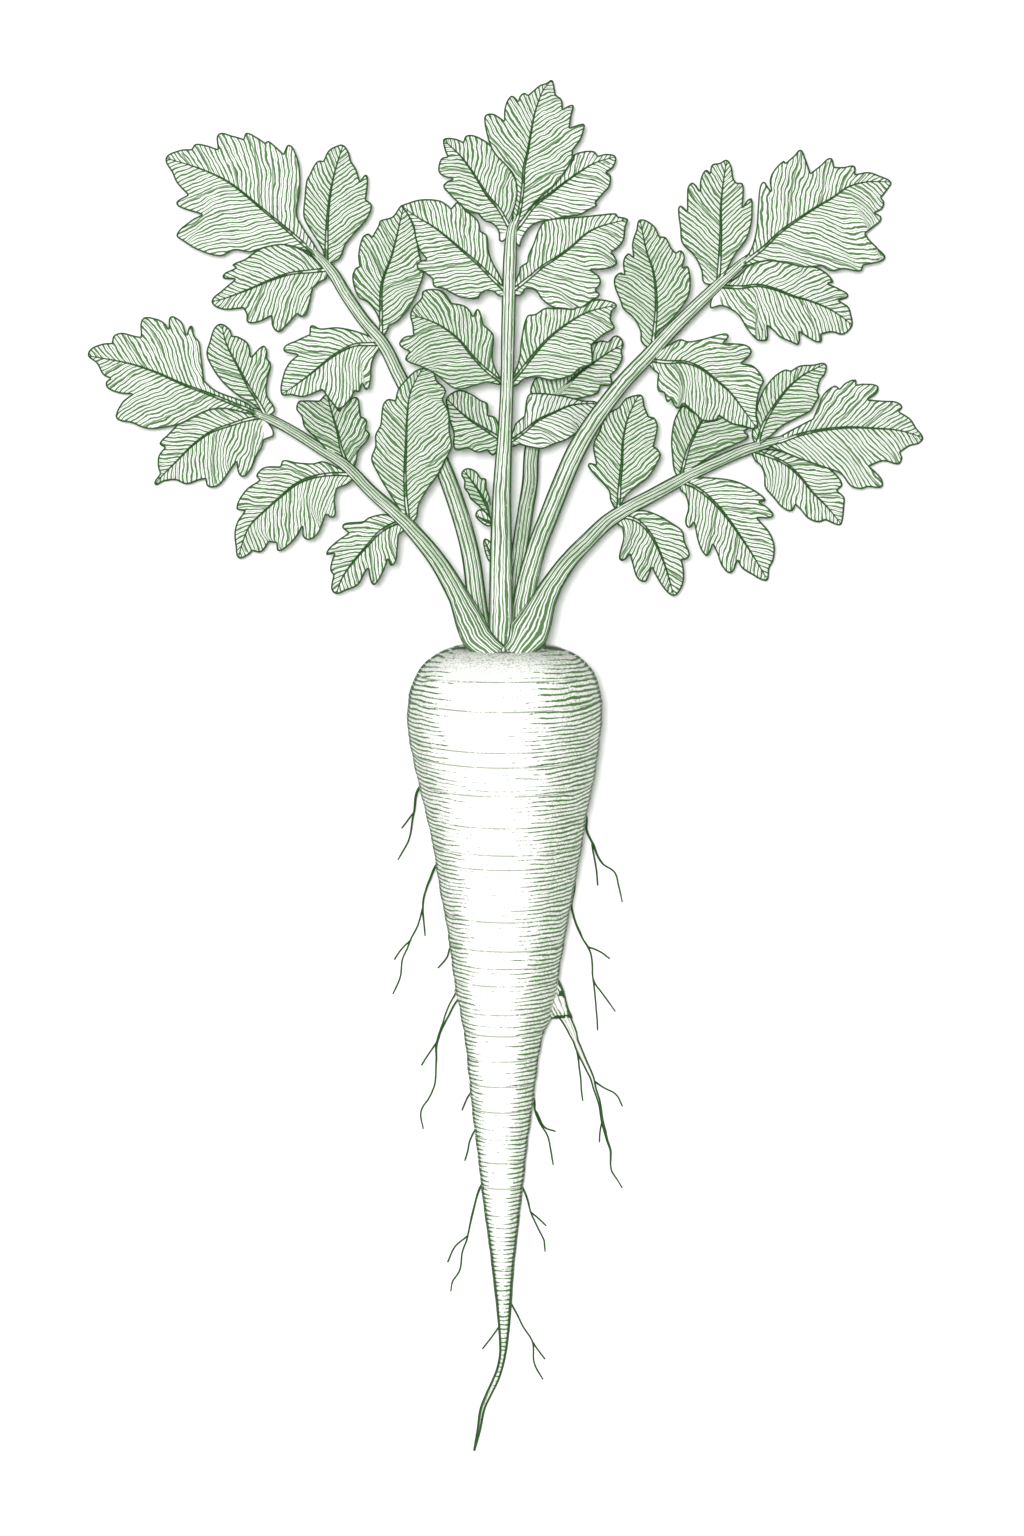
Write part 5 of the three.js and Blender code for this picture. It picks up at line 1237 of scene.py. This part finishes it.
def blade_material():
    """Pale leaf skin with inked fine veins, side veins, midrib and rim; a leaflet's shade value tints it and
    thickens its fine veins, as painted shade.
    """
    n = Nodes("leaf_blade")
    shade, share, edge = n.attribute("shade"), n.attribute("share"), n.attribute("edge")
    light = n.mix(n.lumps(140, 3.0), srgb(248, 251, 245), srgb(255, 255, 253))
    # Painted shade: a tint towards the shaded leaf colour by the leaflet's shade value.
    base = n.mix(shade * 0.16, light, PAINTED_SHADE_LEAF)
    grain = n.lumps(900, 2.0)
    strand = n.attribute("fine") + (n.lumps(330, 3.0) - 0.5) * 0.9
    wide = (n.noise(n.vector(strand * 1.1, edge * 0.3, share * 2.0)) - 0.5) * 1.1
    first, second = n.ridge(strand) + wide, n.ridge(strand * 2.0) - (wide + 0.36)
    # Painted shade: the fine veins thicken with the leaflet's shade value.
    level = n.most(first, second) + (shade * 0.5 + 0.16)
    lines = n.band(level, 0.62, 0.72) * n.band(grain, 0.12, 0.3) * n.band(share, 0.0, 0.05)
    spine = n.band(n.attribute("rib") + share * (RIB_FOOT + 0.12), RIB_FOOT + 0.32, RIB_FOOT + 0.18)
    ink = n.most(lines * 0.94, n.band(n.attribute("vein"), 0.3, 0.12) * 0.75)
    deep_ink = n.most(spine * 0.95, n.band(edge, 0.56, 0.38) * 0.98)
    colour = n.mix(deep_ink, n.mix(ink, base, INK), DEEP_INK)
    return n.finish(colour, grain * 0.2 + 0.5, grain - n.most(ink, deep_ink) * 1.4, 0.35, 0.00018)


def stalk_material():
    """Pale stalk skin with lines along it, closer towards its sides and its right as painted shade, and an
    outline on both sides; each stalk's shade value tints it and closes its lines up, also painted shade.
    """
    n = Nodes("leaf_stalk")
    shade, flank, ring = n.attribute("shade"), n.attribute("flank"), n.attribute("ring")
    cloud = n.lumps((500, 90, 500), 3.0)
    light = n.mix(cloud, srgb(246, 249, 242), srgb(254, 255, 251))
    # Painted shade: a tint towards the shaded leaf colour by the stalk's shade value.
    base = n.mix(shade * 0.2, light, PAINTED_SHADE_LEAF)
    streak = n.lumps(1100, 2.0)
    strand = n.attribute("fine") + (n.lumps(260, 2.0) - 0.5) * 0.5
    wide = (n.noise(n.vector(strand * 1.3, ring * 0.16, shade)) - 0.5) * 1.1
    broad = n.band(n.attribute("rib"), 2.6, 4.2)
    # Painted shade: the lines close up with the stalk's shade value, towards its sides and towards its right.
    painted_shade_weight = shade * 0.4 + (flank * flank * 0.3 + flank * 0.16 - 0.06)
    first = n.ridge(strand) + wide - broad * 0.1
    second = n.ridge(strand * 2.0) - (wide + 0.36) + broad * 0.2
    level = n.most(first, second) + n.math("MINIMUM", painted_shade_weight + 0.24, 0.48)
    lines = n.band(level, 0.6, 0.74) * n.band(streak, 0.16, 0.36) * 0.92
    margin = n.band(n.attribute("edge"), 0.42, 0.26)
    colour = n.mix(margin * 0.97, n.mix(lines, base, INK), DEEP_INK)
    return n.finish(colour, cloud * 0.2 + 0.45, streak - lines * 1.2, 0.3, 0.0002)


def root_material():
    """White root skin inked with growth rings, heavier to the sides and the right as painted shade, and
    heavier at the tail; the crown under the stalks is stippled as painted shade.
    """
    n = Nodes("root_skin")
    ring, flank, edge = n.attribute("ring"), n.attribute("flank"), n.attribute("edge")
    share, crown = n.attribute("share"), n.attribute("shade")
    split = n.tree.nodes.new("ShaderNodeSeparateXYZ")
    n.put(split.inputs[0], n.place)
    x, z = (Value(n, split.outputs[axis]) * (1 / MM) for axis in "XZ")

    def round_noise(across, along, roughness=0.5):
        """Noise that keeps to the rings, with so many lumps to a mm across and along the root."""
        return n.noise(n.vector(x * across, ring * along, z * across), 2.0, roughness)

    wave = n.math("SINE", ring * (2 * math.pi / RING_PITCH) + round_noise(0.07, 0.12) * 12.0)
    speck = round_noise(1.3, 2.2, 0.6)
    dash = round_noise(0.16, 1.9) * 0.55 + speck * 0.45
    # Painted shade: right and left close the rings up towards the root's right and left sides; the tail and
    # the outline are inked heavier too.
    right, left = n.band(flank, -0.05, 0.87), n.band(flank, -0.45, -1.05)
    tail, end = n.band(share, 0.6, 0.9), n.band(share, 0.905, 0.94)
    dense = right * (0.88 - tail * 0.6) + left * (tail * 0.3 + 0.9) + tail * 0.72
    dense = dense + n.band(edge, 0.95, 0.5) * 0.8
    level = wave * (0.27 - tail * 0.08) + (dash - 0.07) + dense * 0.36 - end * 0.25 - crown * 0.16
    crease = n.band(n.attribute("groove"), 0.35, 0.85) * n.band(dash, 0.4, 0.5)
    # Stipple on the crown under the stalks' feet, painted shade.
    stipple = n.band(n.lumps(1500, 1.0), 0.53, 0.59) * crown
    # grit: specks that follow that painted shade and the heavier inking.
    grit = n.band(n.lumps(2100, 1.0), 0.5, 0.58) * n.band(dense, 0.3, 0.85)
    rings = n.most(n.band(level, 0.75, 0.84) * 0.95, crease * 0.7, stipple * 0.65, grit * 0.42)

    fork = n.band(n.attribute("rib"), 0.25, 0.7)
    web = n.band(n.ridge(n.attribute("vein") + (speck - 0.5) * 0.6), 0.2, 0.45) * fork
    strands = n.band(n.ridge(n.attribute("fine") + speck * 0.7), 0.35, 0.6) * end
    margin = n.band(edge, 1.0, 0.7) * n.most(tail, fork, n.band(wave, -0.95, -0.6))
    ink = n.most(rings * (1.0 - fork), web * 0.9, strands * 0.85, margin * 0.95)
    cloud = n.lumps(60, 4.0)
    pale = n.mix(cloud, srgb(247, 248, 241), srgb(254, 254, 251))
    # Painted shade: the skin is tinted darker towards the right.
    base = n.mix(right * 0.15, pale, srgb(206, 216, 194))
    colour = n.mix(margin * 0.9, n.mix(ink, base, INK), DEEP_INK)
    return n.finish(colour, cloud * 0.2 + 0.48, dash * 0.6 - ink, 0.35, 0.0003, 0.3)


def rootlet_material():
    """Rootlets: an outline on both sides and broken lines along them."""
    n = Nodes("rootlet_skin")
    streak = n.lumps((1400, 500, 1400), 3.0)
    pale = n.mix(streak, srgb(238, 240, 229), srgb(253, 253, 248))
    strand = n.attribute("fine") + (n.lumps(300, 2.0) - 0.5) * 0.9
    stripe = n.band(n.ridge(strand) + (streak - 0.5) * 0.9, 0.5, 0.8)
    dark = n.most(stripe * 0.7, n.band(n.attribute("edge"), 0.6, 0.44))
    return n.finish(n.mix(dark, pale, DEEP_INK), streak * 0.2 + 0.5, streak, 0.3, 0.0002, 0.3)


def table_material():
    n = Nodes("table_top")
    return n.finish(n.mix(n.lumps(9, 3.0), srgb(246, 247, 245), srgb(252, 252, 251)), 0.8, specular=0.1)


# ---------------------------------------------------------------- scene

def show(name, data):
    """Adds an object to the scene."""
    thing = bpy.data.objects.new(name, data)
    bpy.context.scene.collection.objects.link(thing)
    return thing


def lay_table():
    mesh = bpy.data.meshes.new("table")
    corners = [(x * FLOOR, y * FLOOR, 0) for x, y in ((-1, -1), (1, -1), (1, 1), (-1, 1))]
    mesh.from_pydata(corners, [], [(0, 1, 2, 3)])
    mesh.materials.append(table_material())
    table = show("table", mesh)
    table.location.z = -FLOOR_DROP


def add_light(name, kind, place, direction, energy, **settings):
    data = bpy.data.lights.new(name, kind)
    data.energy = energy
    for key, value in settings.items():
        setattr(data, key, value)
    lamp = show(name, data)
    lamp.location = place
    lamp.rotation_euler = Vector(direction).to_track_quat("-Z", "Y").to_euler()


def add_camera():
    """Looks straight down, framed as the photograph is."""
    wide, tall = GRID_SIZE
    data = bpy.data.cameras.new("camera")
    data.sensor_fit = "VERTICAL"
    data.sensor_height = SENSOR
    data.lens = SENSOR * (EYE - FOCUS_HEIGHT) / (tall * GRID * MM)
    camera = show("camera", data)
    camera.location = (*plan((wide / 2, tall / 2)) * MM, EYE)
    bpy.context.scene.camera = camera


root_piece(root_material())
rootlet_piece(rootlet_material())
leaf_materials = [blade_material(), stalk_material()]
for leaf_name, leaf_stalk, leaflets in LEAVES:
    leaf(leaf_name, leaf_stalk, leaflets, leaf_materials)

lay_table()
KEY_PLACE = (-0.55, 0.4, 1.25)
add_light("key", "AREA", KEY_PLACE, [-axis for axis in KEY_PLACE], 1.5, shape="DISK", size=1.0)
add_light("overhead", "SUN", (0, 0, 3), (0.035, -0.03, -1.0), 2.9, angle=math.radians(7))
world = bpy.data.worlds.new("studio")
world.use_nodes = True
world.node_tree.nodes["Background"].inputs["Color"].default_value = (1.0, 1.0, 1.0, 1.0)
world.node_tree.nodes["Background"].inputs["Strength"].default_value = 0.3
bpy.context.scene.world = world
bpy.context.scene.view_settings.view_transform = "Standard"
add_camera()
